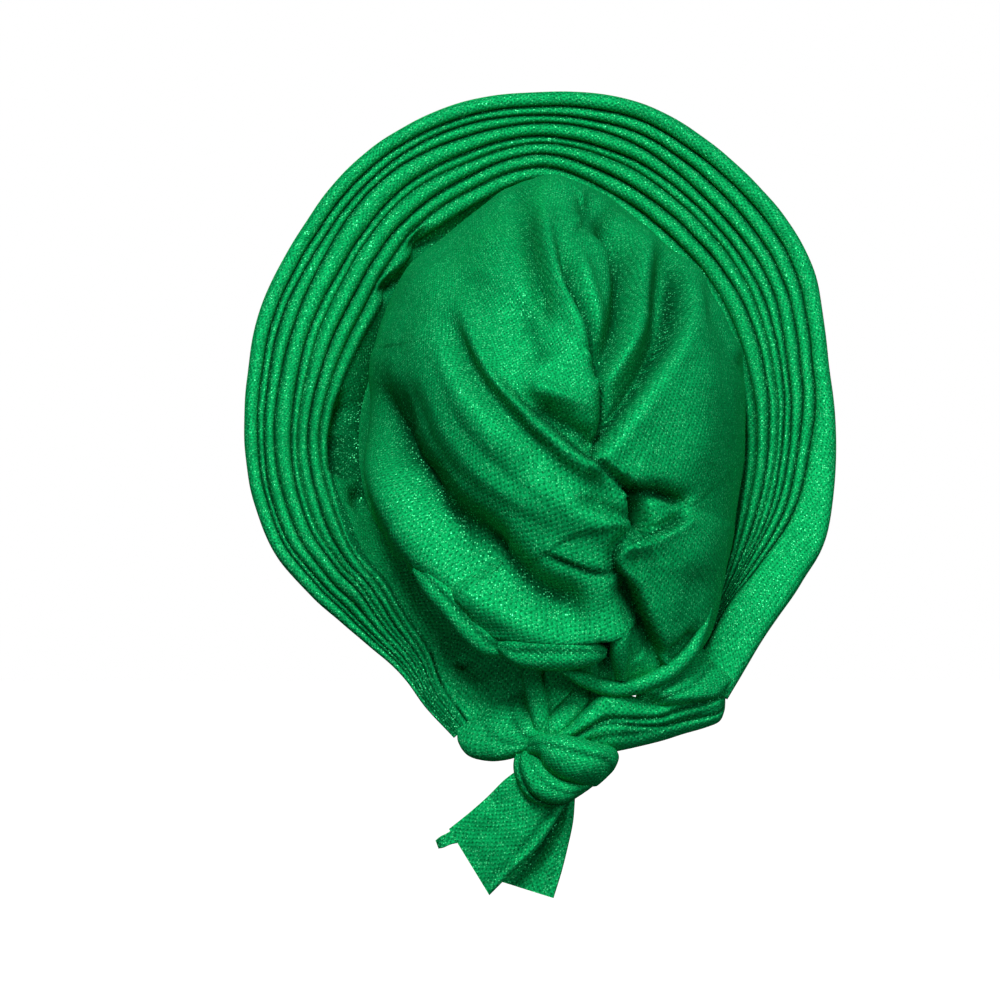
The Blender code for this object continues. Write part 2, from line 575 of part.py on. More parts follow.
def gather_sides(rows, pleats):
    """The gathered cloth from the crown's hem to the knot, front and back."""
    outer, inner = crown_sides(FAN_SECTIONS, NAPE_SECTIONS)[:2]
    hem = np.stack([outer[-NAPE_SECTIONS:, -1], inner[-NAPE_SECTIONS:, -1]])
    line = hem.mean(0)
    line[:, 1] = hem[:, :, 1].max(0) + GAP + GATHER_WALL / 2 + GATHER_RISE / 4
    line[:, 2] = hem[:, :, 2].min(0) + GATHER_WALL
    part = line[::-1][GATHER_FROM:GATHER_TO]
    place = np.linspace(0, len(part) - 1, 3 * pleats + 1)
    line = np.stack([np.interp(place, np.arange(len(part)), part[:, k]) for k in range(3)], 1)
    end, way = knot_entry("hem_gather")
    half = ENTRIES["hem_gather"][ENTRY_COLUMNS.index("half")]
    side = unit(np.cross([0.0, 1.0, 0.0], way))
    foot = end + side * np.linspace(-half, half, 3 * pleats + 1)[:, None]
    foot = foot + way * GATHER_WALL / 2
    t = np.linspace(0, 1, rows)[:, None, None]
    ease = t ** np.array([0.8, 2.0, 0.9])
    middle = line * (1 - ease) + foot * ease
    phase = np.linspace(0, 2 * np.pi * pleats, 3 * pleats + 1)
    wave = np.cos(phase)[None, :, None] * GATHER_RISE / 2 * np.sin(np.pi * (0.12 + 0.76 * t))
    back = np.array([0.0, -1.0, 0.0])
    return (middle + back * (wave + GATHER_WALL / 2), middle + back * (wave - GATHER_WALL / 2))


def tail_sides(name, rows, shift, count, across):
    """A free end below the knot, front and back, bowed along and folded once lengthways."""
    start, way = knot_entry(name)
    table = smooth(rows, count)
    side = unit(np.cross(way, [0.0, 1.0, 0.0]))
    deep = np.cross(side, way)
    t = np.linspace(0, 1, count)[:, None, None]
    s = np.linspace(-1, 1, across)[None, :, None]
    broad = table[:, 0][:, None, None] * TAIL_WIDTH / 2
    bow = table[:, 1][:, None, None] * TAIL_LENGTH
    slant = 0.10 * TAIL_LENGTH * s * t
    middle = (start + side * shift * TAIL_WIDTH + way * (t * TAIL_LENGTH + slant)
              + side * s * broad - deep * (bow + 0.06 * TAIL_WIDTH * (1 - s ** 2) * t))
    return middle - deep * TAIL_WALL / 2, middle + deep * TAIL_WALL / 2


def head_seat():
    """The empty that every piece hangs on, at the inside top of the crown."""
    seat = bpy.data.objects.new("head_seat", None)
    seat.empty_display_size = CROWN_WIDTH / 10
    bpy.context.scene.collection.objects.link(seat)
    return seat


def build_object(seat, name, body, colour):
    """A named object of one closed body, with its own cloth material."""
    points, faces = body
    points = np.asarray(points)
    centre = (points.max(0) + points.min(0)) / 2
    mesh = bpy.data.meshes.new(name)
    mesh.from_pydata([tuple(p) for p in points - centre], [], faces)
    mesh.validate()
    mesh.update()
    piece = bpy.data.objects.new(name, mesh)
    piece.location = centre
    piece.parent = seat
    bpy.context.scene.collection.objects.link(piece)
    material = bpy.data.materials.new(name + "_cloth")
    material.use_nodes = True
    shader = material.node_tree.nodes["Principled BSDF"]
    shader.inputs["Base Color"].default_value = colour
    shader.inputs["Roughness"].default_value = 0.65
    mesh.materials.append(material)
    mesh.shade_smooth()
    mesh.set_sharp_from_angle(angle=math.radians(50))
    return piece


def clear_scene():
    """Remove every object of the starting scene."""
    for item in list(bpy.data.objects):
        bpy.data.objects.remove(item, do_unlink=True)


def main():
    """Build every piece of the turban."""
    clear_scene()
    seat = head_seat()
    bodies = {
        "pleated_fan": sheet_body(*fan_sides(FAN_SECTIONS)),
        "crown": bowl_body(*crown_sides(FAN_SECTIONS, NAPE_SECTIONS)),
        "hem_gather": sheet_body(*gather_sides(8, 5)),
        "tie_left": tube_body(tie_rings("tie_left", TIE_LEFT_ROWS, False, 9, 12)),
        "tie_right": tube_body(tie_rings("tie_right", TIE_RIGHT_ROWS, True, 11, 12)),
        "tie_knot": lump_body(*knot_surface(20, 11)),
        "tail_front": sheet_body(*tail_sides("tail_front", TAIL_FRONT_ROWS, 0.0, 7, 7)),
        "tail_back": sheet_body(*tail_sides("tail_back", TAIL_BACK_ROWS, 0.0, 7, 7)),
    }
    for name, body in bodies.items():
        build_object(seat, name, body, SHADES[name])


main()
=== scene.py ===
"""The pleated headtie turban as it looks: twisted crown, pleated fan, knot and tails of sparkling knit."""
import math

import bpy
import numpy as np
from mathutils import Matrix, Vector


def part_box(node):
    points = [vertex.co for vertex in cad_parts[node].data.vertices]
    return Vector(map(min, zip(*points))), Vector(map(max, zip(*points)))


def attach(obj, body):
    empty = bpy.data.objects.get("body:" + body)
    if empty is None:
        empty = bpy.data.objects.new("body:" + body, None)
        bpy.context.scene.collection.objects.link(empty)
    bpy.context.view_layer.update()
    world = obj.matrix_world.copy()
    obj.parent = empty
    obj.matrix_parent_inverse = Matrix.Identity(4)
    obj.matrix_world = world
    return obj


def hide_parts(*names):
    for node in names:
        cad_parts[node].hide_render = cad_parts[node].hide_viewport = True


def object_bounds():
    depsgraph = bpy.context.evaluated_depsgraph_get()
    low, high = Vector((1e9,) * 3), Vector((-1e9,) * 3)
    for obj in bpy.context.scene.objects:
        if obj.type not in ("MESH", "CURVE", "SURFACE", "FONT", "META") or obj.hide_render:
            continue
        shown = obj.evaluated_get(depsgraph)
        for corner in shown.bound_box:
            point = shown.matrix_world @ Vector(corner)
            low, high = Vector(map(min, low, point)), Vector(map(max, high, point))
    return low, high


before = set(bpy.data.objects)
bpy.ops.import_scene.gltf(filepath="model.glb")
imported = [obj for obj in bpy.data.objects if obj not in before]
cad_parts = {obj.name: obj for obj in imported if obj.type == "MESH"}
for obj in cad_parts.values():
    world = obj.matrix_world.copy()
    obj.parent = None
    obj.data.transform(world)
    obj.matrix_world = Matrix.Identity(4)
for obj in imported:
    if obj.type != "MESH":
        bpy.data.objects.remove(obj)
CAD_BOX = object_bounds()

# Sizes of the forms in metres, and shares. The wearer faces +Y and +Z is up.
FAN_WIDTH = 0.290
FAN_HEIGHT = 0.314
FAN_LEAN = 0.150
FAN_TOP_Y = 0.080
FAN_TOP_Z = 0.047
BAND_WALL = 0.0022
ROLL_MOST = 0.0046
ROLL_SHARE = 0.58
LAST_ROLL_THICK = 0.0042
# How far the painted shade reaches from each crease of the fan.
CREASE_SHADE = 0.0016
PRESSED_SHARE = 0.20
# How far the painted shade reaches over the band from the crown's seat.
BAND_SHADE = 0.020
CROWN_WIDTH = 0.188
CROWN_HEIGHT = 0.250
CROWN_BACK_Y = -0.119
CROWN_CENTRE_X = 0.006
CROWN_CENTRE_Z = -0.122
CROWN_RECESS = 0.034
CROWN_WALL = 0.0020
OUTLINE_SOFT = 0.012
HEM_TUCK = 0.006
HEM_LAP = 0.008
HEM_ROLL = 0.0016
NAPE_Y = -0.078
FOLD_RISE = 0.0080
CROWN_ROUGH = (0.0003, 0.0006)
STRIP_ROUGH = 0.0004
FAN_ROUGH = 0.0005
SEAT_GAP = 0.0003

# How many reaches the raised side of a step goes on for, and where lifts are held back and how
# much further they may go, in shares of FOLD_RISE.
STEP_TAIL = 4.5
LIFT_KNEE = 1.2
LIFT_OVER = 0.5

# Numbers of points.
FAN_STATIONS = 440
BAND_ACROSS = 26
ROLL_ACROSS = 15
FRONT_ROLL_ACROSS = 10
LAST_ACROSS = 22
MIDDLE_ACROSS = 9
NEAR_RIM = 40
NAPE_STATIONS = 96
FREE_SHARE = 5 / 43
CROWN_CELLS = 248
LINING_CELLS = 124
FLANK_RINGS = 28

# The knit: its pitch across and between rows, and its specks, in metres.
KNIT_PITCH = 0.0024
KNIT_ROW = 0.00155
SPECK_SIZE = 0.0009
GRAIN_SIZE = 0.0008

# The cloth's colour and a darker one painted as shade between stitches, the share of its bright specks, and
# how dark the painted shade in its deepest places gets.
CLOTH_STITCH_SHADE = (0.001, 0.170, 0.044, 1.0)
CLOTH_HIGH = (0.004, 0.400, 0.112, 1.0)
# The specks' colour is partly the yarn's own lighter colour and partly a painted glint.
SPECK_GLINT_COLOUR = (0.09, 0.95, 0.36, 1.0)
SPARKLE = 0.36
SHADE_DEEP = 0.80

# One row for each station of the fan, from its left end over the top to its right end, in
# hundredths: of half the width for x values, of FAN_HEIGHT below the rim's top for drops, of
# FAN_LEAN for ahead and lean, of the pleats' width for the last roll and of the band's for the seat.
FAN_COLUMNS = ("rim_x", "rim_drop", "pleat_x", "pleat_drop", "pleat_ahead",
               "brow_x", "brow_drop", "brow_lean", "last_roll", "seat")
FAN_ROWS = (
    (-29, 101, -24, 99, 1, -1, 93, 103, 14, 80),
    (-39, 96, -33, 93, 2, -3, 84, 95, 14, 85),
    (-47, 91, -37.5, 87.5, 3, -10, 77, 85, 14, 88),
    (-57, 87, -45.5, 82, 3, -28, 72, 76, 14, 88),
    (-67, 83, -52, 77, 4, -42, 69, 68, 15, 80),
    (-77, 79, -62, 72, 5, -51, 68, 61, 17, 70),
    (-91, 71, -68, 65, 7, -54, 63, 52, 15, 60),
    (-99, 59, -71.5, 55, 9, -54, 57, 39, 15, 55),
    (-99, 45, -67, 46, 9, -53, 50, 27, 14, 50),
    (-92, 31, -57.5, 36.5, 10, -48, 45, 13, 13.5, 45),
    (-67, 13, -43, 25, 10, -34, 40, -2, 13, 32),
    (-35, 3, -26, 18.5, 9, -16, 38, -10, 13, 25),
    (0, 0, 0, 13.5, 8, 0, 37, -11, 15, 22),
    (36, 2, 25, 18.5, 9, 17, 38, -10, 14, 25),
    (68, 12, 46, 26.5, 10, 34, 40, -2, 14, 32),
    (91, 26, 60, 36, 10, 48, 45, 13, 15, 45),
    (98, 44, 68, 46, 9, 53, 50, 27, 17, 50),
    (100, 56, 70, 55, 8, 54, 57, 39, 28, 55),
    (97, 69, 68, 64, 7, 54, 63, 51, 42, 60),
    (88, 77, 64, 73, 5, 52, 69, 63, 60, 65),
    (76, 85, 59, 80, 3, 50, 77, 77, 80, 75),
    (63, 95, 50, 90, 2, 43, 88, 95, 90, 80),
)

# One row for each crease of the fan, in hundredths: its place between the pleats' inner edge (0)
# and the last roll (100), at the left end, left side, top, right side and right end, and its depth.
CREASE_ROWS = (
    (0, 0, 0, 0, 0, 80),
    (30, 10, 18, 16, 16, 75),
    (46, 28, 33, 35, 35, 100),
    (58, 42, 50, 47, 47, 70),
    (68, 52, 60, 57, 57, 95),
    (79, 74, 80, 67, 67, 95),
    (90, 92, 90, 83, 83, 100),
    (100, 100, 100, 100, 100, 100),
)

# The crown's outline seen from behind: hundredths of half its width and height from its centre.
OUTLINE_ROWS = (
    (-10, 100), (4, 100), (25, 95), (35, 90), (55, 78), (69, 67), (79, 56), (88, 44), (97, 29), (100, 14),
    (99, -8), (95, -31), (92, -46), (86, -69), (80, -80), (72, -87), (58, -93), (44, -98), (32, -99),
    (20, -96), (9, -92), (-4, -89), (-19, -87), (-32, -83), (-49, -73), (-65, -60), (-78, -49), (-87, -39),
    (-93, -25), (-98, -8), (-100, 10), (-99, 27), (-93, 39), (-84, 53), (-74, 67), (-58, 77), (-43, 87),
    (-24, 97),
)

# The crown's folds: kind, rise, reach, begin, finish and points, all in hundredths. Points are from
# the crown's centre in parts of half its width and height, rise and reach are in parts of
# FOLD_RISE. A step is raised on the left of its own direction, and a trough is broad on that side
# and steep on the other. Begin and finish say how much of the fold is left at its two ends.
FOLD_ROWS = (
    ("soft", -90, 80, 40, 0, ((-18, 94), (-14, 82), (-11, 70), (-5, 55), (2, 41))),
    ("soft", 90, 65, 20, 50, ((-9, 96), (-5, 84), (-2, 74), (4, 61), (11, 48), (19, 36), (24, 27))),
    ("crease", -160, 60, 20, 100, ((1, 78), (5, 69), (9, 59), (15, 50), (20, 42), (25, 33), (27, 27))),
    ("soft", 50, 50, 10, 20, ((8, 78), (15, 66), (20, 56), (25, 45), (28, 35))),
    ("trough", -190, 130, 90, 60, ((28, 28), (34, 37), (39, 50), (41, 63), (39, 74), (31, 83), (19, 89))),
    ("soft", 55, 60, 20, 20, ((16, 84), (26, 76), (31, 65), (31, 53), (29, 40))),
    ("soft", 60, 80, 0, 0, ((-12, 98), (4, 95), (21, 89), (32, 80))),
    ("soft", 70, 80, 0, 20, ((40, 84), (48, 75), (51, 63), (50, 52), (46, 41), (40, 33), (31, 23))),
    ("step", 100, 240, 0, 100, ((51, 75), (60, 69), (64, 63), (65, 54), (64, 45), (60, 35), (54, 27),
      (47, 19), (38, 9), (29, 0), (21, -8))),
    ("soft", 35, 60, 0, 0, ((60, 73), (69, 63), (71, 53), (69, 43), (65, 33), (59, 25), (51, 15))),
    ("trough", -140, 140, 60, 0, ((23, -5), (30, 2), (38, 11), (46, 20), (54, 30), (59, 41), (60, 52),
      (58, 62), (54, 69), (48, 74))),
    ("crease", -90, 45, 100, 100, ((27, 27), (27, 19), (28, 11), (28, 4), (25, -3))),
    ("step", 40, 120, 80, 40, ((25, -3), (28, 4), (28, 11), (27, 19), (27, 25))),
    ("soft", 55, 50, 10, 30, ((-16, 18), (-8, 18), (0, 16), (9, 14), (20, 11))),
    ("soft", -110, 75, 20, 80, ((-11, 13), (-3, 8), (7, 3), (19, -3))),
    ("step", 95, 260, 90, 0, ((45, -34), (43, -27), (36, -20), (30, -17), (21, -11), (12, -6), (2, 1),
      (-9, 8), (-19, 15), (-29, 23), (-37, 33))),
    ("soft", 75, 60, 50, 0, ((21, -13), (10, -9), (-1, -2), (-11, 5), (-22, 14), (-33, 24), (-41, 35),
      (-46, 47), (-47, 58))),
    ("soft", -85, 160, 0, 0, ((-19, 59), (-11, 41), (-3, 26))),
    ("soft", 40, 130, 0, 0, ((-26, 82), (-33, 69), (-37, 56))),
    ("soft", -14, 45, 10, 10, ((-80, 41), (-77, 18), (-66, -2), (-48, -18), (-27, -29))),
    ("soft", 14, 45, 10, 10, ((-71, 45), (-68, 22), (-57, 2), (-39, -15), (-17, -27), (4, -37))),
    ("soft", -12, 40, 10, 10, ((-62, 49), (-59, 25), (-49, 6), (-30, -11), (-7, -25), (15, -35))),
    ("crease", -130, 60, 60, 10, ((35, -20), (44, -22), (54, -22), (64, -25), (69, -28))),
    ("step", 60, 160, 40, 20, ((32, -17), (38, -20), (46, -22), (56, -23), (65, -25), (70, -29))),
    ("soft", -240, 50, 60, 70, ((42, -24), (44, -29), (46, -34), (48, -38))),
    ("crease", -140, 40, 70, 70, ((44, -26), (46, -31), (46, -36))),
    ("step", 85, 160, 20, 80, ((69, -28), (66, -33), (58, -37), (49, -40), (40, -42))),
    ("step", 120, 100, 80, 50, ((44, -38), (36, -42), (33, -45), (32, -49), (34, -53), (39, -58), (44, -67),
      (49, -76), (54, -84), (57, -90))),
    ("trough", -140, 100, 80, 10, ((54, -85), (49, -76), (44, -67), (40, -61), (34, -55))),
    ("crease", -80, 50, 100, 0, ((44, -34), (33, -31), (21, -27), (8, -24))),
    ("soft", -45, 80, 20, 0, ((35, -25), (22, -21), (9, -15), (-4, -8))),
    ("soft", 55, 120, 30, 0, ((40, -37), (25, -35), (7, -29), (-11, -22), (-27, -12))),
    ("crease", -12, 45, 0, 50, ((-8, -45), (5, -49), (20, -53), (32, -54))),
    ("step", 25, 100, 0, 50, ((-8, -45), (5, -49), (20, -53), (32, -54))),
    ("trough", -210, 230, 10, 0, ((-96, 35), (-95, 22), (-93, 11), (-90, -2), (-83, -12), (-73, -22),
      (-63, -32), (-51, -41), (-38, -51), (-22, -61))),
    ("crease", -60, 60, 0, 0, ((-94, 14), (-90, 0), (-83, -11), (-74, -21), (-64, -30))),
    ("soft", 85, 80, 10, 20, ((-97, 22), (-96, 4), (-92, -12), (-84, -27), (-73, -40), (-58, -49),
      (-39, -61), (-18, -70), (4, -76), (27, -77))),
    ("soft", -140, 130, 0, 10, ((-48, -29), (-38, -41), (-24, -52), (-9, -62), (9, -67), (23, -69))),
    ("step", 125, 160, 30, 80, ((-80, -48), (-68, -49), (-58, -53), (-48, -62), (-39, -69), (-29, -76),
      (-18, -78), (-1, -79), (15, -80), (30, -80), (40, -77))),
    ("soft", -200, 50, 50, 40, ((-45, -65), (-43, -70), (-41, -76))),
    ("crease", -90, 50, 60, 10, ((-41, -76), (-34, -81), (-26, -85))),
    ("soft", 20, 80, 20, 30, ((-16, -83), (-1, -85), (12, -89), (21, -91))),
    ("soft", -170, 60, 30, 60, ((20, -82), (26, -85), (29, -89), (27, -92))),
    ("soft", 30, 40, 30, 30, ((35, -79), (36, -86), (37, -94))),
    ("soft", 35, 85, 30, 20, ((5, -91), (13, -93), (21, -96), (32, -99), (44, -98), (58, -92), (70, -86),
      (79, -78))),
    ("soft", -80, 50, 10, 20, ((56, -87), (65, -84), (71, -80), (74, -75))),
    ("soft", 50, 40, 10, 10, ((74, 58), (83, 44), (91, 33), (97, 26))),
    ("soft", -40, 50, 0, 10, ((81, 57), (89, 46), (95, 36))),
    ("soft", 60, 170, 0, 0, ((69, 55), (73, 29), (73, 2), (69, -25))),
    ("soft", 60, 160, 0, 0, ((72, -29), (72, -49), (67, -69), (57, -82))),
    ("soft", -45, 150, 0, 0, ((72, -49), (67, -65), (61, -80))),
    ("soft", -85, 80, 0, 0, ((-55, 53), (-50, 39), (-38, 22), (-20, 7), (-2, -6), (12, -16))),
    ("soft", 50, 120, 0, 0, ((-64, 55), (-59, 33), (-47, 14), (-29, -2), (-8, -14))),
)

# Pinches, dimples and soft folds of the fan's smooth part, in the same columns. The points alone
# are thousandths, of half the fan's width and of its height below the rim's top.
BAND_FOLD_ROWS = (
    ("soft", -110, 60, 40, 40, ((-655, 480), (-660, 530))),
    ("crease", -180, 55, 80, 0, ((-666, 538), (-685, 570), (-695, 600))),
    ("crease", -180, 55, 80, 0, ((-666, 538), (-655, 575), (-642, 610))),
    ("crease", -140, 50, 80, 0, ((-666, 538), (-690, 533), (-715, 530))),
    ("soft", 60, 80, 0, 0, ((-676, 609), (-635, 733), (-558, 827))),
    ("soft", -100, 70, 30, 30, ((-602, 615), (-600, 655))),
    ("soft", -100, 80, 20, 20, ((-425, 222), (-365, 247))),
    ("soft", -100, 80, 20, 20, ((-524, 289), (-473, 312))),
    ("soft", -70, 28, 100, 100, ((-266, 892), (-262, 898))),
    ("soft", 25, 80, 100, 100, ((-250, 925), (-240, 935))),
)

# Lines between the parts of the crown's cloth, in hundredths of half its width and height.
LEFT_EDGE = ((21, -8), (9, -1), (-11, 14), (-30, 30), (-43, 47), (-46, 62), (-40, 78), (-30, 120))
RIGHT_EDGE = ((50, 120), (50, 73), (67, 58), (65, 39), (54, 22), (29, 0), (21, -8))
CROSSING = ((31, -18), (40, -22), (45, -29), (46, -37), (33, -47), (35, -54), (41, -65), (51, -86),
            (60, -160))
TONGUE_LEFT = ((27, 1), (28, 14), (27, 27), (22, 40), (14, 53), (6, 65), (-1, 82), (-10, 120))
TONGUE_RIGHT = ((40, 120), (34, 68), (36, 53), (34, 39), (27, 27))

# The direction of the cloth in each of those parts, in degrees from upright.
GRAIN_TURNS = {"left": -30, "right": 6, "panel_left": -14, "tongue": 30, "panel_right": -35}

# Strips of cloth seen from behind, from where each starts to where it ends. Places are hundredths
# of the knot's width from the knot's centre, ahead is how far they lie towards the face, and full
# is half the thickness of the roll.
STRIP_COLUMNS = ("left_x", "left_up", "right_x", "right_up", "ahead", "full")
STRIPS = {
    "lobe": ((-106, 43, -42, 82, 36, 3), (-105, 30, -38, 71, 30, 11), (-95, 17, -35, 62, 24, 16),
        (-75, 12, -33, 55, 18, 18), (-55, 14, -31, 47, 12, 16), (-39, 20, -29, 43, 8, 13),
        (-26, 16, -20, 42, 6, 11), (-12, 14, -6, 40, 8, 8)),
    "strip_one": ((-52, 130, -18, 130, 40, 5), (-49, 113, -20, 112, 30, 9), (-45, 93, -24, 93, 22, 10),
        (-40, 73, -18, 73, 14, 10), (-35, 56, -17, 58, 8, 8), (-31, 36, -14, 38, 6, 6),
        (-28, 22, -6, 24, 8, 5)),
    "strip_two": ((-22, 128, 20, 120, 42, 5), (-23, 110, 15, 99, 34, 8), (-25, 90, 16, 86, 28, 9),
        (-27, 73, 10, 73, 22, 8), (-26, 58, 4, 58, 18, 6), (-24, 42, 0, 42, 14, 5)),
    "strip_three": ((20, 106, 34, 100, 40, 5), (11, 91, 24, 86, 28, 7), (-1, 75, 22, 71, 18, 10),
        (-14, 60, 14, 57, 10, 11), (-22, 46, 3, 45, 4, 10), (-26, 32, -4, 32, 4, 7)),
    "strip_four": ((30, 100, 44, 98, 42, 5), (22, 86, 36, 82, 30, 7), (19, 67, 36, 66, 20, 10),
        (10, 51, 34, 50, 12, 11), (-1, 39, 30, 36, 6, 10), (-8, 28, 24, 22, 6, 6)),
    "hem_lobe": ((-67, 128, -67, 120, -24, 3), (-49, 134, -51, 105, -27, 10), (-25, 134, -25, 100, -29, 13),
        (3, 132, 3, 100, -29, 13), (27, 128, 24, 105, -28, 10), (39, 121, 37, 112, -24, 3)),
    "hem_fold": ((43, 138, 62, 138, -32, 6), (41, 120, 60, 120, -22, 12), (43, 104, 60, 103, -8, 14),
        (47, 90, 58, 90, 2, 10)),
    "hem_roll": ((-10, 106, -8, 98, -6, 3), (17, 98, 15, 83, -2, 9), (43, 90, 43, 74, 2, 10),
        (69, 93, 74, 78, 4, 10), (94, 106, 103, 92, 7, 10), (114, 124, 125, 114, 17, 8),
        (127, 144, 135, 138, 24, 5), (135, 162, 141, 160, 32, 3)),
    "hem_side": ((-144, 206, -150, 196, 10, 5), (-125, 194, -138, 174, -2, 9),
        (-106, 176, -121, 153, -10, 11), (-87, 156, -103, 132, -14, 11), (-68, 138, -83, 115, -16, 9),
        (-49, 124, -55, 112, -16, 3)),
    "tie": ((153, 73, 153, 68, 50, 3), (150, 79, 152, 60, 48, 10), (144, 83, 147, 50, 46, 16),
        (129, 81, 133, 44, 42, 18), (107, 76, 112, 38, 34, 19), (88, 70, 93, 32, 26, 19),
        (70, 73, 73, 27, 20, 19), (53, 78, 55, 23, 14, 19), (36, 80, 38, 20, 10, 19),
        (18, 64, 20, 20, 6, 18), (0, 46, 2, 20, 2, 14), (-20, 34, -18, 22, 2, 8)),
    "turn": ((110, 134, 166, 98, 64, 3), (98, 117, 156, 86, 48, 14), (82, 99, 144, 74, 34, 21),
        (70, 86, 120, 68, 26, 22), (66, 74, 94, 62, 26, 14)),
    "wrap_upper": ((-40, 30, -38, 20, -2, 5), (-30, 37, -27, 16, -6, 13), (-10, 39, -24, 9, -10, 18),
        (12, 35, -18, 2, -12, 21), (29, 30, -5, -6, -12, 23), (44, 26, 10, -10, -9, 23),
        (50, 17, 23, -12, -4, 20), (46, 5, 28, -12, 2, 15), (38, -4, 30, -11, 6, 8)),
    "wrap_lower": ((-50, 22, -27, 24, 6, 7), (-52, 7, -22, 15, 0, 15), (-49, -6, -16, 6, -4, 19),
        (-41, -21, -7, -1, -5, 21), (-27, -30, 4, -5, -4, 22), (-9, -32, 15, -8, -2, 21),
        (6, -25, 25, -8, 2, 17), (20, -16, 30, -8, 6, 8)),
    "tail_front": ((-40, 8, 4, -12, 4, 3), (-49, 3, 2, -22, 2, 2.8), (-62, -7, -13, -49, -2, 2.6),
        (-77, -22, -29, -72, -4, 2.5), (-94, -37, -51, -93, -5, 2.5), (-114, -53, -75, -117, -4, 2.5)),
    "tail_back": ((-14, -10, 10, -10, 12, 3), (-18, -24, 8, -21, 15, 2.8), (-29, -44, 6, -46, 17, 2.6),
        (-42, -65, 1, -70, 17, 2.5), (-53, -85, -5, -94, 16, 2.5), (-64, -104, -13, -120, 14, 2.5)),
    "flap": ((-105, -50, -102, -66, -2, 2.5), (-116, -57, -112, -68, -6, 3), (-122, -60, -119, -71, -8, 3.5),
        (-127, -64, -124, -72, -7, 2)),
}

# Grooves and ridges along a strip: rise and reach in hundredths of the knot's width, and the
# places across the strip, from left (0) to right (100), at even steps of its length.
GROOVES = {
    "lobe": ((-3, 5, (80, 72, 62, 55)), (-2, 5, (35, 40, 45, 50))),
    "tie": ((-7, 3.5, (30, 34, 42, 46, 50)), (-6, 3, (80, 72, 60, 52, 50)), (-3, 6, (55, 60, 72, 74, 70))),
    "turn": ((-3, 5, (30, 35, 40)), (-3, 5, (65, 60, 60))),
    "wrap_upper": ((-3, 5, (40, 35, 30, 30)),),
    "wrap_lower": ((-5, 3, (22, 16, 10, 5)), (-2, 6, (60, 60, 55, 50))),
    "tail_front": ((4, 8, (95, 95, 95, 95)), (-3, 6, (85, 82, 84, 86))),
    "tail_back": ((-7, 10, (55, 52, 42, 22)), (3, 8, (82, 80, 75, 72))),
    "hem_lobe": ((-3, 6, (60, 50, 45, 50)),),
    "hem_side": ((-3, 5, (50, 45, 55)),),
}

# The pieces made of strips: name, node, strips, flat size across and along in metres, how it is
# held, what it rests on, its points along and around each strip, and how square the strips are.
PIECE_ROWS = (
    ("crown_hem", "crown", ("hem_lobe", "hem_fold", "hem_roll", "hem_side"), (0.155, 0.018),
     "folded", ["pleated_fan"], 110, 60, 2.4),
    ("hem_gather_cloth", "hem_gather", ("strip_two", "strip_one", "strip_four", "strip_three"),
     (0.065, 0.048), "gathered", ["crown", "tie_knot"], 110, 60, 2.4),
    ("tie_left_cloth", "tie_left", ("lobe",), (0.030, 0.047),
     "gathered", ["pleated_fan", "tie_knot"], 160, 90, 2.4),
    ("tie_right_cloth", "tie_right", ("tie", "turn"), (0.050, 0.080),
     "folded", ["pleated_fan", "tie_knot"], 200, 100, 2.4),
    ("knot_cloth", "tie_knot", ("wrap_upper", "wrap_lower"), (0.030, 0.090),
     "folded", ["tie_right"], 150, 100, 2.4),
    ("tail_front_cloth", "tail_front", ("tail_front", "flap"), (0.042, 0.054),
     "hung", ["tie_knot"], 130, 120, 24),
    ("tail_back_cloth", "tail_back", ("tail_back",), (0.026, 0.046),
     "hung", ["tie_knot"], 130, 120, 24),
)

# The lights, all aimed at one place: name, place, size and power.
LIGHTS_AIM = (0.0, 0.0, -0.12)
LIGHT_ROWS = (
    ("key", (-0.3, -2.1, 2.1), 1.1, 82),
    ("fill", (1.6, -2.6, 0.8), 1.4, 26),
    ("low_fill", (-0.9, -2.2, -1.0), 1.2, 8),
    ("front_fill", (-0.6, 2.6, 0.9), 1.6, 40),
)


def smooth(points, count):
    """Points at even steps along a soft curve through the given ones."""
    points = np.asarray(points, float)
    ends = np.vstack([2 * points[0] - points[1], points, 2 * points[-1] - points[-2]])
    spans = len(points) - 1
    place = np.linspace(0, spans, count)
    index = np.minimum(place.astype(int), spans - 1)
    t = (place - index)[:, None]
    a, b, c, d = (ends[index + k] for k in range(4))
    return 0.5 * (2 * b + (c - a) * t + (2 * a - 5 * b + 4 * c - d) * t ** 2
                  + (3 * b - a - 3 * c + d) * t ** 3)


def ease(t):
    """A soft rise from 0 to 1."""
    t = np.clip(t, 0, 1)
    return t * t * (3 - 2 * t)


def quarter_round(t):
    """A rise from 0 to 1 that is round like a quarter of a circle."""
    return np.sqrt(1 - (1 - np.clip(t, 0, 1)) ** 2)


def close_at_edges(count):
    """Shares from 0 to 1 that lie closer together near both ends."""
    return (1 - np.cos(np.pi * (np.arange(count) + 0.5) / count)) / 2


def unit(vectors):
    """Vectors scaled to length one."""
    return vectors / np.maximum(np.linalg.norm(vectors, axis=-1, keepdims=True), 1e-12)


def normals(grid):
    """Directions square to a grid of points."""
    return unit(np.cross(np.gradient(grid, axis=0), np.gradient(grid, axis=1)))


def lengths(grid, axis):
    """Distances along a grid of points, from its first row or column."""
    steps = np.linalg.norm(np.diff(grid, axis=axis), axis=-1)
    start = np.zeros_like(np.take(steps, [0], axis=axis))
    return np.concatenate([start, np.cumsum(steps, axis=axis)], axis=axis)


def ripple(points, size, seed, waves=9):
    """Even, soft unevenness between -1 and 1, the same on every run."""
    rng = np.random.default_rng(seed)
    points = np.asarray(points)
    total = np.zeros(points.shape[:-1])
    for _ in range(waves):
        way = unit(rng.normal(size=points.shape[-1]))
        pace = 2 * np.pi / size * rng.uniform(0.6, 1.6)
        total += np.sin(points @ way * pace + rng.uniform(0, 2 * np.pi))
    return total / math.sqrt(waves)


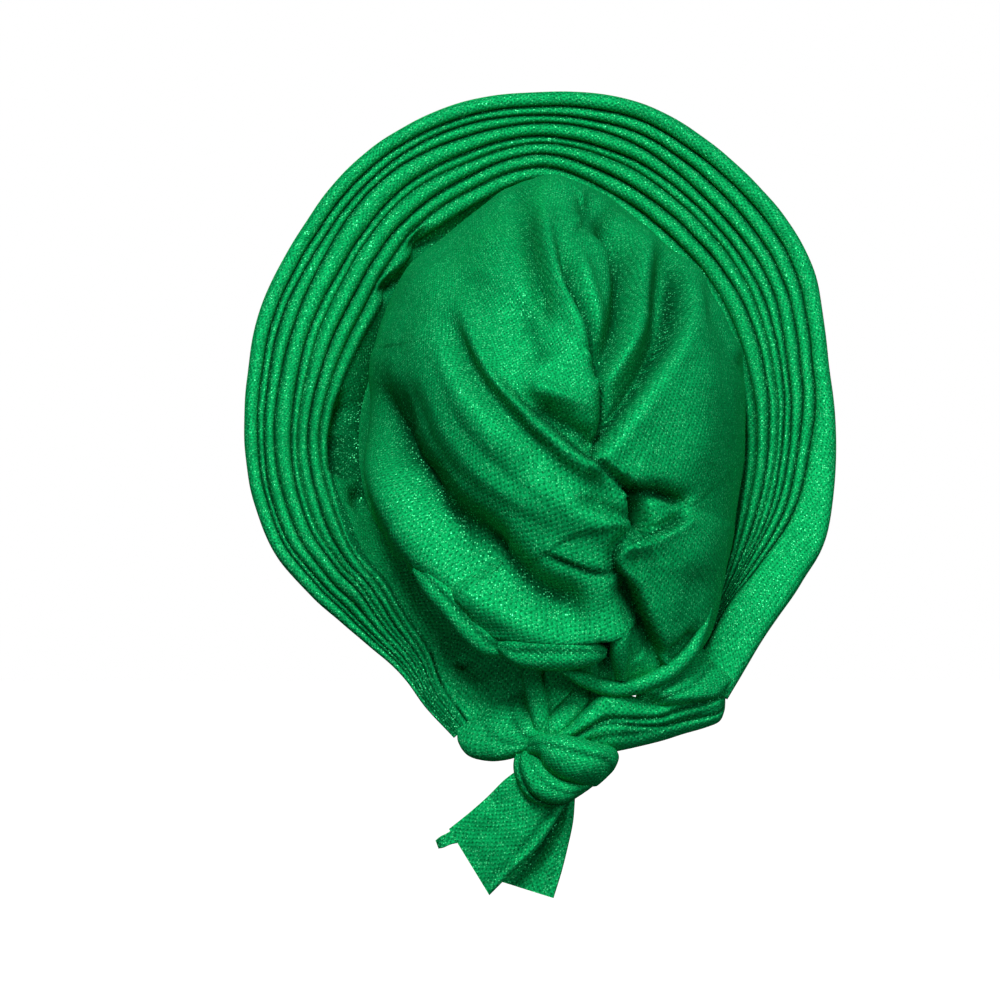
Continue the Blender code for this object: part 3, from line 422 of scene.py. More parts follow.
def fold_profile(kind, away, side, reach):
    """How a fold lifts the cloth at a distance from its line, in shares of its rise."""
    if kind == "step":
        raised = ease((side + 0.10) / 0.34) * np.exp(-np.maximum(side, 0) / reach)
        raised *= ease((STEP_TAIL - side / reach) / 1.5)
        return raised - 0.30 * np.exp(-((side + 0.22) / 0.30) ** 2)
    if kind == "trough":
        return np.exp(-(away / np.where(side > 0, reach, 0.40 * reach)) ** 2)
    if kind == "crease":
        return 0.4 * np.exp(-(away / reach) ** 2) + 0.6 * np.exp(-2.4 * away / reach)
    return np.exp(-(away / reach) ** 2)


def placed_folds(rows, parts, scale):
    """Rows of folds with their numbers as shares and their points in metres."""
    return [(kind, *(np.array(numbers) / 100), np.array(points) / parts * scale)
            for kind, *numbers, points in rows]


def fold_lift(x, z, folds, size):
    """The lift of every fold at places seen from behind, and the painted shade at each place, darkest in
    creases, troughs and at the foot of steps.
    """
    lift = np.zeros(x.shape)
    painted_shade = np.zeros(x.shape)
    for kind, rise, reach, begin, finish, points in folds:
        line = smooth(points, 7 * len(points))
        margin = size * reach * (STEP_TAIL if kind == "step" else 3)
        near = ((x > line[:, 0].min() - margin) & (x < line[:, 0].max() + margin)
                & (z > line[:, 1].min() - margin) & (z < line[:, 1].max() + margin))
        if not near.any():
            continue
        flat = np.stack([x[near], z[near]], -1)
        best = np.full(len(flat), 1e9)
        along = np.zeros(len(flat))
        turn = np.zeros(len(flat))
        whole = len(line) - 1
        for k in range(whole):
            step = line[k + 1] - line[k]
            gap = flat - line[k]
            t = np.clip(gap @ step / (step @ step), 0, 1)
            away = np.hypot(*(gap - t[:, None] * step).T)
            nearer = away < best
            best[nearer] = away[nearer]
            along[nearer] = (k + t[nearer]) / whole
            turn[nearer] = (step[0] * gap[:, 1] - step[1] * gap[:, 0])[nearer]
        start = begin + (1 - begin) * ease(along / 0.30)
        stop = finish + (1 - finish) * ease((1 - along) / 0.30)
        beyond = (along < 1e-4) | (along > 1 - 1e-4)
        tip = np.where(beyond, np.exp(-(best / (0.8 * size * min(reach, 1.2))) ** 2), 1.0)
        share = start * stop * tip
        away = best / size
        side = np.where(turn >= 0, away, -away)
        lift[near] += rise * share * fold_profile(kind, away, side, reach)
        # Painted shade: darkening along valleys and under step edges, where shade falls.
        if kind == "step":
            painted_dark = np.exp(-((side + 0.08) / 0.20) ** 2)
        elif kind == "trough":
            painted_dark = np.exp(-(away / np.where(side > 0, 0.9 * reach, 0.35)) ** 2) * min(1.0, -0.45 * rise)
        else:
            painted_dark = np.exp(-(away / min(0.7 * reach, 0.6)) ** 2) * min(1.0, -0.7 * min(rise, 0))
        painted_shade[near] = np.maximum(painted_shade[near], share * painted_dark)
    lift = np.minimum(lift, LIFT_KNEE + LIFT_OVER * np.tanh(np.maximum(lift - LIFT_KNEE, 0)))
    return lift * size, painted_shade


def fan_edges(count):
    """The rim, the pleats' inner edge and the brow edge of the fan, and its table by columns."""
    row = dict(zip(FAN_COLUMNS, smooth(np.array(FAN_ROWS) / 100, count).T))
    rim_y = FAN_TOP_Y - FAN_LEAN * row["rim_drop"]
    pleat_y = rim_y + FAN_LEAN * row["pleat_ahead"]
    brow_y = FAN_TOP_Y - FAN_LEAN * row["brow_lean"]
    edges = [np.stack([FAN_WIDTH / 2 * row[edge + "_x"], y, FAN_TOP_Z - FAN_HEIGHT * row[edge + "_drop"]], 1)
             for edge, y in (("rim", rim_y), ("pleat", pleat_y), ("brow", brow_y))]
    return *edges, row


def band_points(pleat, brow, steps):
    """The fan's smooth band, bowed a little, from the brow edge to the pleats' inner edge."""
    place = steps[None, :, None]
    bow = 0.10 * np.sin(np.pi * place) * np.linalg.norm(pleat - brow, axis=1)[:, None, None]
    return brow[:, None] + (pleat - brow)[:, None] * place + bow * np.array([0, 0.6, 0.4])


def crease_places(count):
    """The creases' places at each station, wandering a little, and their depths."""
    marks = np.linspace(0, 1, 5)
    along = np.linspace(0, 1, count)
    table = np.array(CREASE_ROWS) / 100
    places = np.stack([np.interp(along, marks, crease[:5]) for crease in table], 1)
    for i in range(1, places.shape[1] - 1):
        places[:, i] += 0.008 * ease(along * 5) * ripple(along[:, None], 0.16, 20 + i)
    return places, table[:, 5]


def fan_across(count, per_roll):
    """Shares across the fan's pleats at each station, with the rise of the rolls and the painted shade along
    their creases.
    """
    rim, pleat, brow, row = fan_edges(count)
    width = np.linalg.norm(rim - pleat, axis=1)
    places, depth = crease_places(count)
    outside = (1 - row["last_roll"])[:, None]
    along = np.linspace(0, 1, count)[:, None]
    pressed = PRESSED_SHARE + (1 - PRESSED_SHARE) * ease((along - 0.02) / 0.16)
    shares, rises, painted_darks = [], [], []
    for i in range(places.shape[1] - 1):
        u = close_at_edges(per_roll)
        u = np.concatenate([[0.0], u]) if i == 0 else u
        low, high = places[:, i:i + 1], places[:, i + 1:i + 2]
        broad = (high - low) * outside * width[:, None]
        most = np.minimum(ROLL_SHARE * broad, ROLL_MOST)
        most = most * pressed * (1 + 0.12 * ripple(along, 0.10, 40 + i)[:, None])
        round_over = (1 - np.abs(2 * u ** 0.9 - 1) ** 2.1) ** 0.75
        foot = (1 - depth[i]) * (1 - u) + (1 - depth[i + 1]) * u
        shares.append((low + (high - low) * u) * outside)
        rises.append(most * np.maximum(round_over, foot * 0.8))
        # Painted shade: darker towards the creases on both sides of a roll.
        inner = np.clip(1 - u * broad / CREASE_SHADE, 0, 1) * depth[i]
        outer = np.clip(1 - (1 - u) * broad / CREASE_SHADE, 0, 1) * depth[i + 1]
        painted_darks.append(np.maximum(inner, outer))
    u = np.concatenate([close_at_edges(LAST_ACROSS), [1.0]])
    last = row["last_roll"][:, None]
    broad = last * width[:, None]
    power = 2.2 + 5 * ease((broad - 0.006) / 0.02)
    most = np.minimum(ROLL_SHARE * broad, LAST_ROLL_THICK + 0.001 * ease((broad - 0.02) / 0.02))
    shares.append(1 - last + last * u)
    rises.append(most * (1 - np.abs(2 * u - 1) ** power) ** 0.5)
    painted_darks.append(np.clip(1 - u * broad / CREASE_SHADE, 0, 1))
    return np.hstack(shares), np.hstack(rises), np.hstack(painted_darks)


def fan_surface(count, per_roll, back):
    """One side of the fan, from the brow edge to the rim, with its painted shade."""
    rim, pleat, brow, row = fan_edges(count)
    shares, rises, painted_darks = fan_across(count, per_roll)
    band = np.linspace(0, 1, BAND_ACROSS)[:-1]
    smooth_part = band_points(pleat, brow, band)
    pleats = pleat[:, None] + (rim - pleat)[:, None] * shares[:, :, None]
    middle = np.concatenate([smooth_part, pleats], 1)
    out = normals(np.concatenate([smooth_part, pleats[:, ::4], pleats[:, -1:]], 1))
    keep = np.arange(smooth_part.shape[1])
    spread = np.minimum(np.arange(pleats.shape[1]) / 4, out.shape[1] - 1 - len(keep))
    low = len(keep) + spread.astype(int)
    high = np.minimum(low + 1, out.shape[1] - 1)
    part = (spread - spread.astype(int))[None, :, None]
    out = unit(np.concatenate([out[:, keep], out[:, low] * (1 - part) + out[:, high] * part], 1))
    wall = BAND_WALL / 2 * quarter_round(keep / 3.0) * np.ones((count, 1))
    rise = np.hstack([wall, rises + BAND_WALL / 2 * (1 - shares)])
    end = np.minimum(np.arange(count), np.arange(count)[::-1]) / 5.0
    rise = rise * (0.25 + 0.75 * quarter_round(end))[:, None]
    points = middle + out * (rise if back else -rise)[:, :, None]
    folds = placed_folds(BAND_FOLD_ROWS, 1000, np.array([FAN_WIDTH / 2, -FAN_HEIGHT]))
    lift, painted_shade = fold_lift(points[:, :, 0], points[:, :, 2] - FAN_TOP_Z, folds, FOLD_RISE)
    points = points + out * lift[:, :, None]
    points = points + out * (FAN_ROUGH * ripple(points, 0.028, 7))[:, :, None]
    painted_fan_shade = np.zeros(points.shape[:2])
    painted_fan_shade[:, len(keep):] = painted_darks
    # Painted shade on the band: full under the crown, fading from the crown's seat towards the pleats,
    # except near the fan's left end.
    gap = (row["seat"][:, None] + band - 1) * np.linalg.norm(pleat - brow, axis=1)[:, None]
    upper = ease((np.linspace(0, 1, count) - 0.24) / 0.08)[:, None]
    painted_fan_shade[:, :len(keep)] = upper * np.clip(1 - gap / BAND_SHADE, 0, 1)
    return points, np.maximum(painted_fan_shade, painted_shade)


def fan_middle(count):
    """A plain middle surface of the fan and its directions to the back, to seat the crown on."""
    rim, pleat, brow, row = fan_edges(count)
    smooth_part = band_points(pleat, brow, np.linspace(0, 1, MIDDLE_ACROSS))
    outer = pleat[:, None] + (rim - pleat)[:, None] * np.linspace(0, 1, 5)[None, 1:, None]
    middle = np.concatenate([smooth_part, outer], 1)
    return middle, normals(middle), row["seat"]


def on_band(count):
    """Where the crown's front edge meets the back of the fan, and the direction to the back."""
    middle, out, seat = fan_middle(count)
    place = (1 - seat) * (MIDDLE_ACROSS - 1)
    low = place.astype(int)
    share = (place - low)[:, None]
    rows = np.arange(count)
    point, way = (grid[rows, low] * (1 - share) + grid[rows, low + 1] * share for grid in (middle, out))
    way = unit(way)
    return point + way * (BAND_WALL / 2 + SEAT_GAP), way


def outline_at(angles):
    """The crown's outline seen from behind, at angles from the top towards the right."""
    places = np.array(OUTLINE_ROWS + OUTLINE_ROWS[:1]) / 100
    fine = smooth(places * np.array([CROWN_WIDTH / 2, CROWN_HEIGHT / 2]), 400)
    found = np.arctan2(fine[:, 0], fine[:, 1])
    order = np.argsort(found)
    reach = np.interp(angles, found[order], np.hypot(*fine.T)[order], period=2 * np.pi)
    return np.stack([reach * np.sin(angles), reach * np.cos(angles)], 1)


def behind_band(points, count):
    """Points of the free hem, kept behind the fan's flat end wherever that lies under them."""
    middle = fan_middle(count)[0].reshape(-1, 3)
    for point in points:
        away = np.hypot(middle[:, 0] - point[0], middle[:, 2] - point[2])
        limit = (middle[:, 1] + 0.5 * np.maximum(away - HEM_LAP, 0)).min() - 1.6 * HEM_TUCK
        point[1] = min(point[1], limit)
    return points


def crown_meridians():
    """Angles of the crown's lines, with the outline points, end points and ways out there."""
    free = int(round(FREE_SHARE * (FAN_STATIONS - 1)))
    end, way = (part[free:] for part in on_band(FAN_STATIONS))
    centre = np.array([CROWN_CENTRE_X, CROWN_CENTRE_Z])
    angles = np.unwrap(np.arctan2(end[:, 0] - centre[0], end[:, 2] - centre[1]))
    share = np.linspace(0, 1, NAPE_STATIONS + 2)[1:-1]
    nape_angles = angles[-1] + (angles[0] + 2 * np.pi - angles[-1]) * share
    every = np.concatenate([angles, nape_angles])
    wrapped = np.arctan2(np.sin(every), np.cos(every))
    flat = outline_at(wrapped)
    away = np.abs(wrapped) / np.pi
    recess = HEM_TUCK + (CROWN_RECESS - HEM_TUCK) * np.clip((0.86 - away) / 0.30, 0, 1)
    across = end[-1, 1] + (end[0, 1] - end[-1, 1]) * share
    across = across + (NAPE_Y + HEM_TUCK - across) * np.sin(np.pi * share) ** 0.5
    edge_y = np.concatenate([end[:, 1], across])
    side = np.stack([flat[:, 0] + centre[0], edge_y - recess, flat[:, 1] + centre[1]], 1)
    side[len(end):] = behind_band(side[len(end):], 120)
    tucked = side[len(end):] + np.array([0, HEM_TUCK, HEM_TUCK / 3])
    ends = np.vstack([end, tucked])
    ways = np.vstack([way, np.tile([0.0, -1.0, 0.0], (NAPE_STATIONS, 1))])
    free_hem = np.concatenate([np.zeros(len(end)), np.ones(NAPE_STATIONS)])
    return every, side, ends, ways, free_hem


def at_angles(angles, known, values):
    """Values known at some angles, read at others round the circle."""
    values = values.reshape(len(known), -1)
    columns = [np.interp(angles, known, values[:, k], period=2 * np.pi)
               for k in range(values.shape[1])]
    return np.stack(columns, -1)


def softened(known, values, width):
    """The same values, evened out over a share of the circle."""
    steps = 720
    even = np.linspace(0, 2 * np.pi, steps, endpoint=False)
    held = at_angles(even, known, values)
    span = max(1, int(width * steps / 2))
    total = sum(np.roll(held, k, 0) for k in range(-span, span + 1)) / (2 * span + 1)
    return even, total


def disc(cells):
    """An even square grid laid over a round disc: angles from the top and radii from the middle."""
    line = np.linspace(-1, 1, cells + 1)
    a, b = np.meshgrid(line, line, indexing="ij")
    wide = np.abs(a) >= np.abs(b)
    safe_a = np.where(a == 0, 1e-12, a)
    safe_b = np.where(b == 0, 1e-12, b)
    theta = np.where(wide, np.pi / 4 * b / safe_a, np.pi / 2 - np.pi / 4 * a / safe_b)
    radius = np.where(wide, a, b)
    x, z = radius * np.cos(theta), radius * np.sin(theta)
    return np.arctan2(x, z), np.minimum(np.hypot(x, z), 1.0)


def rim_order(cells):
    """Grid indices round the border of a square grid, anticlockwise as seen from behind."""
    up = range(cells)
    down = range(cells, 0, -1)
    ring = [(i, 0) for i in up] + [(cells, j) for j in up]
    ring += [(i, cells) for i in down] + [(0, j) for j in down]
    return np.array(ring)


def crown_lift(places):
    """How far the folds lift the crown's cloth at given points, and the painted shade there."""
    folds = placed_folds(FOLD_ROWS, 100, np.array([CROWN_WIDTH / 2, CROWN_HEIGHT / 2]))
    lift, painted_shade = fold_lift(places[..., 0] - CROWN_CENTRE_X, places[..., 2] - CROWN_CENTRE_Z, folds,
                           FOLD_RISE)
    fine, broad = CROWN_ROUGH
    return lift + fine * ripple(places, 0.030, 3) + broad * ripple(places, 0.075, 4), painted_shade


def crown_surface(cells, inward):
    """The crown's dome and flank, with their folds, weave places and painted shade."""
    known, side, ends, ways, free_hem = crown_meridians()
    even, side = softened(known, side, OUTLINE_SOFT)
    ends, ways, free_hem = (at_angles(even, known, values) for values in (ends, ways, free_hem))
    pole = np.array([CROWN_CENTRE_X, CROWN_BACK_Y, CROWN_CENTRE_Z])
    angle, radius = disc(cells)
    turn = radius * np.pi / 2
    swing = (np.sin(turn) ** 0.94)[..., None]
    depth = (1 - np.cos(turn))[..., None]
    edge = at_angles(angle, even, side)
    dome = pole + (edge - pole) * np.where([True, False, True], swing, depth)
    out = normals(dome)
    lift, painted_shade = crown_lift(dome)
    ring = tuple(rim_order(cells).T)
    down = np.linspace(0, 1, FLANK_RINGS + 1)
    t = down[None, 1:, None]
    start = dome[ring][:, None]
    finish = at_angles(angle[ring], even, ends)[:, None]
    heading = -unit(at_angles(angle[ring], even, unit(ways)))[:, None]
    length = np.linalg.norm(finish - start, axis=2, keepdims=True)
    flank = ((2 * t ** 3 - 3 * t ** 2 + 1) * start
             + (t ** 3 - 2 * t ** 2 + t) * length * np.array([0.0, 1.0, 0.0])
             + (3 * t ** 2 - 2 * t ** 3) * finish + (t ** 3 - t ** 2) * length * heading)
    whole = np.concatenate([start, flank], 1)
    flank_out = unit(np.cross(np.gradient(whole, axis=1),
                              np.roll(whole, -1, 0) - np.roll(whole, 1, 0)))
    out[ring] = flank_out[:, 0] = unit(out[ring] + flank_out[:, 0])
    flank_lift, flank_painted_shade = crown_lift(whole)
    hold = 1 - ease(down / 0.9)[None, :]
    rise = HEM_ROLL * at_angles(angle[ring], even, free_hem)
    swell = np.exp(-((down - 0.55) / 0.30) ** 2)[None, :]
    flank_lift = flank_lift * hold + rise * swell
    flank_painted_shade = flank_painted_shade * hold
    dome = dome + out * (lift - inward)[..., None]
    flank = (whole + flank_out * (flank_lift - inward)[..., None])[:, 1:]
    weave = np.stack([np.sin(angle), np.cos(angle)], -1) * (radius * dome_arc(edge, pole))[..., None]
    far = lengths(whole, 1)[:, 1:]
    reach = np.linalg.norm(weave[ring], axis=-1)[:, None]
    flank_weave = unit(weave[ring])[:, None] * (reach + far)[..., None]
    return dome, flank, weave, flank_weave, painted_shade, flank_painted_shade[:, 1:], ring


def dome_arc(edge, pole):
    """The cloth's length from the crown's middle to its outline."""
    across = np.hypot(edge[..., 0] - pole[0], edge[..., 2] - pole[2])
    back = np.abs(edge[..., 1] - pole[1])
    return np.pi / 2 * np.sqrt((across ** 2 + back ** 2) / 2)


def grid_quads(rows, cols, closed=False, flip=False):
    """Four-sided faces over a grid of points, as an array of indices."""
    i = np.arange(rows if closed else rows - 1)[:, None]
    j = np.arange(cols - 1)[None, :]
    a = i * cols + j
    b = ((i + 1) % rows) * cols + j
    quads = np.stack([a, b, b + 1, a + 1], -1).reshape(-1, 4)
    return quads[:, ::-1] if flip else quads


def inside(points, outline):
    """Whether points lie inside a closed outline, seen from behind."""
    x, z = points[:, 0], points[:, 1]
    within = np.zeros(len(points), bool)
    outline = np.array(outline) / 100
    for (x0, z0), (x1, z1) in zip(outline, np.roll(outline, -1, 0)):
        if z0 == z1:
            continue
        crosses = (z0 > z) != (z1 > z)
        within ^= crosses & (x < (x1 - x0) * (z - z0) / (z1 - z0) + x0)
    return within


def crown_grain(flat, weave):
    """Weave places turned to the direction of the cloth in each part of the crown."""
    panel = inside(flat, LEFT_EDGE + RIGHT_EDGE)
    right = inside(flat, RIGHT_EDGE + CROSSING + ((300, -160), (300, 120))) & ~panel
    tongue = panel & inside(flat, TONGUE_LEFT[2:] + TONGUE_RIGHT)
    panel_left = panel & ~tongue & inside(flat, LEFT_EDGE + TONGUE_LEFT[::-1] + LEFT_EDGE[:1])
    angles = np.full(len(flat), GRAIN_TURNS["left"], float)
    for name, places in (("right", right), ("panel_right", panel), ("panel_left", panel_left),
                         ("tongue", tongue)):
        angles[places] = GRAIN_TURNS[name]
    turn = np.radians(angles)[:, None]
    x, z = weave[..., 0], weave[..., 1]
    return np.stack([x * np.cos(turn) + z * np.sin(turn), -x * np.sin(turn) + z * np.cos(turn)], -1)


def add_object(name, data):
    """A new object in the scene."""
    thing = bpy.data.objects.new(name, data)
    bpy.context.scene.collection.objects.link(thing)
    return thing


def make_piece(name, points, quads, weave, shade, material):
    """A mesh object of four-sided faces, with its weave places and its painted shade."""
    mesh = bpy.data.meshes.new(name)
    mesh.vertices.add(len(points))
    mesh.vertices.foreach_set("co", np.ascontiguousarray(points, np.float32).ravel())
    mesh.loops.add(quads.size)
    mesh.loops.foreach_set("vertex_index", np.ascontiguousarray(quads, np.int32).ravel())
    mesh.polygons.add(len(quads))
    mesh.polygons.foreach_set("loop_start", np.arange(0, quads.size, 4, dtype=np.int32))
    mesh.update(calc_edges=True)
    layer = mesh.uv_layers.new(name="weave")
    layer.data.foreach_set("uv", np.ascontiguousarray(weave, np.float32).ravel())
    held = mesh.attributes.new("shade", "FLOAT", "POINT")
    held.data.foreach_set("value", np.ascontiguousarray(shade, np.float32).ravel())
    mesh.materials.append(material)
    mesh.shade_smooth()
    return add_object(name, mesh)


def add_node(tree, kind, **settings):
    """A shader node with its settings, set down in the next place of a wide grid."""
    node = tree.nodes.new(kind)
    count = len(tree.nodes)
    node.location = (200 * (count % 9) - 2100, -220 * (count // 9))
    for key, value in settings.items():
        setattr(node, key, value)
    return node


def set_inputs(node, values):
    """Give a node's own sockets their values."""
    for key, value in values.items():
        node.inputs[key].default_value = value


def math_node(tree, operation, *values):
    """The result of a math node fed by sockets or numbers."""
    node = add_node(tree, "ShaderNodeMath", operation=operation)
    for socket, value in zip(node.inputs, values):
        if isinstance(value, (int, float)):
            socket.default_value = value
        else:
            tree.links.new(value, socket)
    return node.outputs[0]


def noise_node(tree, where, scale, detail):
    """Soft random patches that stay with the cloth."""
    node = add_node(tree, "ShaderNodeTexNoise")
    set_inputs(node, {"Scale": scale, "Detail": detail})
    tree.links.new(where, node.inputs["Vector"])
    return node.outputs["Fac"]


def knit_material():
    """Sparkling knit: a lattice of small stitches with painted shade between them, specks of yarn partly
    bright with a painted glint, and painted shade in the folds.
    """
    material = bpy.data.materials.new("turban_knit")
    material.use_nodes = True
    tree = material.node_tree
    link = tree.links.new
    shader = tree.nodes["Principled BSDF"]
    weave = add_node(tree, "ShaderNodeUVMap", uv_map="weave")
    parts = add_node(tree, "ShaderNodeSeparateXYZ")
    link(weave.outputs["UV"], parts.inputs[0])
    across = math_node(tree, "MULTIPLY", parts.outputs["X"], 2 * math.pi / KNIT_PITCH)
    along = math_node(tree, "MULTIPLY", parts.outputs["Y"], math.pi / KNIT_ROW)
    lattice = math_node(tree, "MULTIPLY", *(math_node(tree, "COSINE", way) for way in (across, along)))
    stitch = math_node(tree, "MULTIPLY_ADD", lattice, 0.5, 0.5)
    where = add_node(tree, "ShaderNodeTexCoord").outputs["Object"]
    cells = add_node(tree, "ShaderNodeTexVoronoi")
    set_inputs(cells, {"Scale": 1 / SPECK_SIZE})
    link(where, cells.inputs["Vector"])
    chance = add_node(tree, "ShaderNodeSeparateColor")
    link(cells.outputs["Color"], chance.inputs[0])
    patches = noise_node(tree, where, 55.0, 3.0)
    keen = math_node(tree, "MULTIPLY_ADD", patches, -0.55, 1.28 - SPARKLE)
    lit = math_node(tree, "GREATER_THAN", chance.outputs[0], keen)
    near = math_node(tree, "LESS_THAN", cells.outputs["Distance"], 0.40)
    speck = math_node(tree, "MULTIPLY", lit, near)
    strength = math_node(tree, "MULTIPLY", speck, chance.outputs[1])
    # The lattice darkens the cloth towards the hollows between stitches: painted shade.
    cloth = add_node(tree, "ShaderNodeValToRGB")
    for element, (position, colour) in zip(cloth.color_ramp.elements,
                                            ((0.0, CLOTH_STITCH_SHADE), (0.42, CLOTH_HIGH))):
        element.position = position
        element.color = colour
    link(stitch, cloth.inputs["Fac"])
    # The painted shade carried by the pieces darkens the cloth colour in folds, creases and grooves.
    painted_fold_shade = add_node(tree, "ShaderNodeAttribute", attribute_name="shade")
    tone = noise_node(tree, where, 22.0, 4.0)
    grain = noise_node(tree, where, 1 / GRAIN_SIZE, 0.0)
    dim = math_node(tree, "MULTIPLY_ADD", painted_fold_shade.outputs["Fac"], -SHADE_DEEP, 1.0)
    vary = math_node(tree, "MULTIPLY_ADD", tone, 0.36, 0.82)
    rough = math_node(tree, "MULTIPLY_ADD", grain, 1.2, 0.4)
    uneven = math_node(tree, "MULTIPLY_ADD", chance.outputs[2], 0.40, 0.80)
    level = dim
    for factor in (vary, rough, uneven):
        level = math_node(tree, "MULTIPLY", level, factor)
    shaded = add_node(tree, "ShaderNodeVectorMath", operation="SCALE")
    link(cloth.outputs["Color"], shaded.inputs[0])
    link(level, shaded.inputs["Scale"])
    # Specks brighten the colour towards the speck colour: partly the yarn's own colour, partly a painted
    # glint.
    mix = add_node(tree, "ShaderNodeMix", data_type="RGBA")
    link(strength, mix.inputs["Factor"])
    link(shaded.outputs[0], mix.inputs[6])
    set_inputs(mix, {7: SPECK_GLINT_COLOUR})
    link(mix.outputs[2], shader.inputs["Base Color"])
    link(math_node(tree, "MULTIPLY_ADD", strength, -0.30, 0.62), shader.inputs["Roughness"])
    bump = add_node(tree, "ShaderNodeBump")
    set_inputs(bump, {"Strength": 0.55, "Distance": 0.00035})
    link(math_node(tree, "MULTIPLY_ADD", strength, 0.8, stitch), bump.inputs["Height"])
    link(bump.outputs["Normal"], shader.inputs["Normal"])
    set_inputs(shader, {"Metallic": 0.30, "Specular IOR Level": 0.0,
                        "Specular Tint": (0.02, 0.90, 0.30, 1.0)})
    return material


def declare(thing, nodes):
    """Fasten a finished sheet of cloth to the part and let it stand for its solids."""
    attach(thing, "root")
    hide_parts(*nodes)


def build_fan(material):
    """The pleated fan: rolls on both sides of its pleats and its smooth band to the brow."""
    back, back_shade = fan_surface(FAN_STATIONS, ROLL_ACROSS, True)
    front, front_shade = fan_surface(FAN_STATIONS, FRONT_ROLL_ACROSS, False)
    for edge in (0, -1):
        back[:, edge] = front[:, edge] = (back[:, edge] + front[:, edge]) / 2
    for name, side, shade in (("pleated_fan_back", back, back_shade),
                              ("pleated_fan_front", front, front_shade)):
        quads = grid_quads(*side.shape[:2], flip=side is front)
        along = lengths(side[:, -NEAR_RIM, None], 0) * np.ones(side.shape[:2])
        weave = np.stack([lengths(side, 1), along], -1).reshape(-1, 2)
        thing = make_piece(name, side.reshape(-1, 3), quads, weave[quads], shade.ravel(), material)
        declare(thing, ["pleated_fan"])


def crown_piece(name, cells, inward, material, flip):
    """The crown's outer cloth or its lining."""
    dome, flank, weave, flank_weave, painted_shade, flank_painted_shade, ring = crown_surface(cells, inward)
    rows = cells + 1
    index = np.arange(rows * rows).reshape(rows, rows)[ring][:, None]
    below = rows * rows + np.arange(flank[..., 0].size).reshape(flank.shape[:2])
    first = np.concatenate([index, below], 1)
    a, b = first[:, :-1], first[:, 1:]
    sides = np.stack([a, b, np.roll(b, -1, 0), np.roll(a, -1, 0)], -1).reshape(-1, 4)
    quads = np.vstack([grid_quads(rows, rows), sides])
    if flip:
        quads = quads[:, ::-1]
    points = np.vstack([dome.reshape(-1, 3), flank.reshape(-1, 3)])
    places = np.vstack([weave.reshape(-1, 2), flank_weave.reshape(-1, 2)])
    centre = points[quads].mean(1)[:, [0, 2]] - [CROWN_CENTRE_X, CROWN_CENTRE_Z]
    flat = centre / [CROWN_WIDTH / 2, CROWN_HEIGHT / 2]
    grain = crown_grain(flat, places[quads])
    shade = np.concatenate([painted_shade.ravel(), flank_painted_shade.ravel()])
    return make_piece(name, points, quads, grain, shade, material)


def build_crown(material):
    """The twisted crown and the inner side of its cloth."""
    outer = crown_piece("crown_cloth", CROWN_CELLS, 0.0, material, False)
    inner = crown_piece("crown_lining", LINING_CELLS, CROWN_WALL, material, True)
    for thing in (outer, inner):
        declare(thing, ["crown"])


def strip_points(rows, grooves, stations, around, flat_power):
    """A flattened roll of cloth through its rows, with grooves along its back and painted shade in them."""
    low, high = (np.array(corner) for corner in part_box("tie_knot"))
    centre, width = (low + high) / 2, high[0] - low[0]
    row = dict(zip(STRIP_COLUMNS, smooth(np.array(rows) / 100, stations).T * width))
    left = np.stack([row["left_x"], row["ahead"], row["left_up"]], 1)
    right = np.stack([row["right_x"], row["ahead"], row["right_up"]], 1)
    turn = np.linspace(0, 2 * np.pi, around, endpoint=False)
    share = (1 - np.cos(turn)) / 2
    height = np.sign(np.sin(turn)) * (1 - np.abs(np.cos(turn)) ** flat_power) ** 0.5
    middle = left[:, None] + (right - left)[:, None] * share[None, :, None]
    rise = height[None, :] * row["full"][:, None]
    broad = np.linalg.norm(right - left, axis=1)[:, None]
    shade = np.zeros(rise.shape)
    fade = np.sin(np.pi * np.linspace(0.08, 0.92, stations))[:, None] ** 0.5
    for depth, reach, places in grooves:
        depth, reach = depth / 100, reach / 100
        place = smooth(np.array(places)[:, None] / 100, stations)
        away = (share[None, :] - place) * broad / (reach * width)
        soft = 0.4 * np.exp(-away ** 2) + 0.6 * np.exp(-2.2 * np.abs(away))
        rise = rise + np.where(height > 0, 1, 0.3) * np.sign(height)[None, :] * depth * width * soft * fade
        # Painted shade along the grooves.
        if depth < 0:
            shade = np.maximum(shade, np.exp(-(away / 0.6) ** 2) * fade * min(1, -depth / 0.05))
    points = middle - np.array([0, 1.0, 0]) * rise[..., None] + centre
    points[..., 1] -= STRIP_ROUGH * ripple(points, 0.018, 11)
    return points, shade


def strip_piece(rows, grooves, stations, around, flat_power):
    """Points, faces, weave and painted shade of one strip, closed at both ends."""
    points, shade = strip_points(rows, grooves, stations, around, flat_power)
    quads = grid_quads(around, stations, closed=True)
    points = points.transpose(1, 0, 2)
    shade = shade.T
    u = lengths(np.concatenate([points, points[:1]]), 0)[:-1, stations // 2][:, None]
    v = lengths(points, 1).mean(0)[None, :]
    weave = np.stack(np.broadcast_arrays(u, v), -1).reshape(-1, 2)
    j = np.arange(around // 2)
    start = np.stack([j, j + 1, (around - j - 1) % around, (around - j) % around], 1) * stations
    finish = start[:, ::-1] + stations - 1
    return points.reshape(-1, 3), np.vstack([quads, start, finish]), weave, shade.ravel()


def build_strips(material, name, node, strips, flat, held, rests_on, *shape):
    """One piece made of several strips of the same cloth."""
    parts = [strip_piece(STRIPS[key], GROOVES.get(key, ()), *shape) for key in strips]
    points, quads, weaves, shades = zip(*parts)
    firsts = np.cumsum([0] + [len(part) for part in points])
    quads = np.vstack([faces + first for faces, first in zip(quads, firsts)])
    weave = np.vstack(weaves)[quads]
    thing = make_piece(name, np.vstack(points), quads, weave, np.concatenate(shades), material)
    declare(thing, [node])


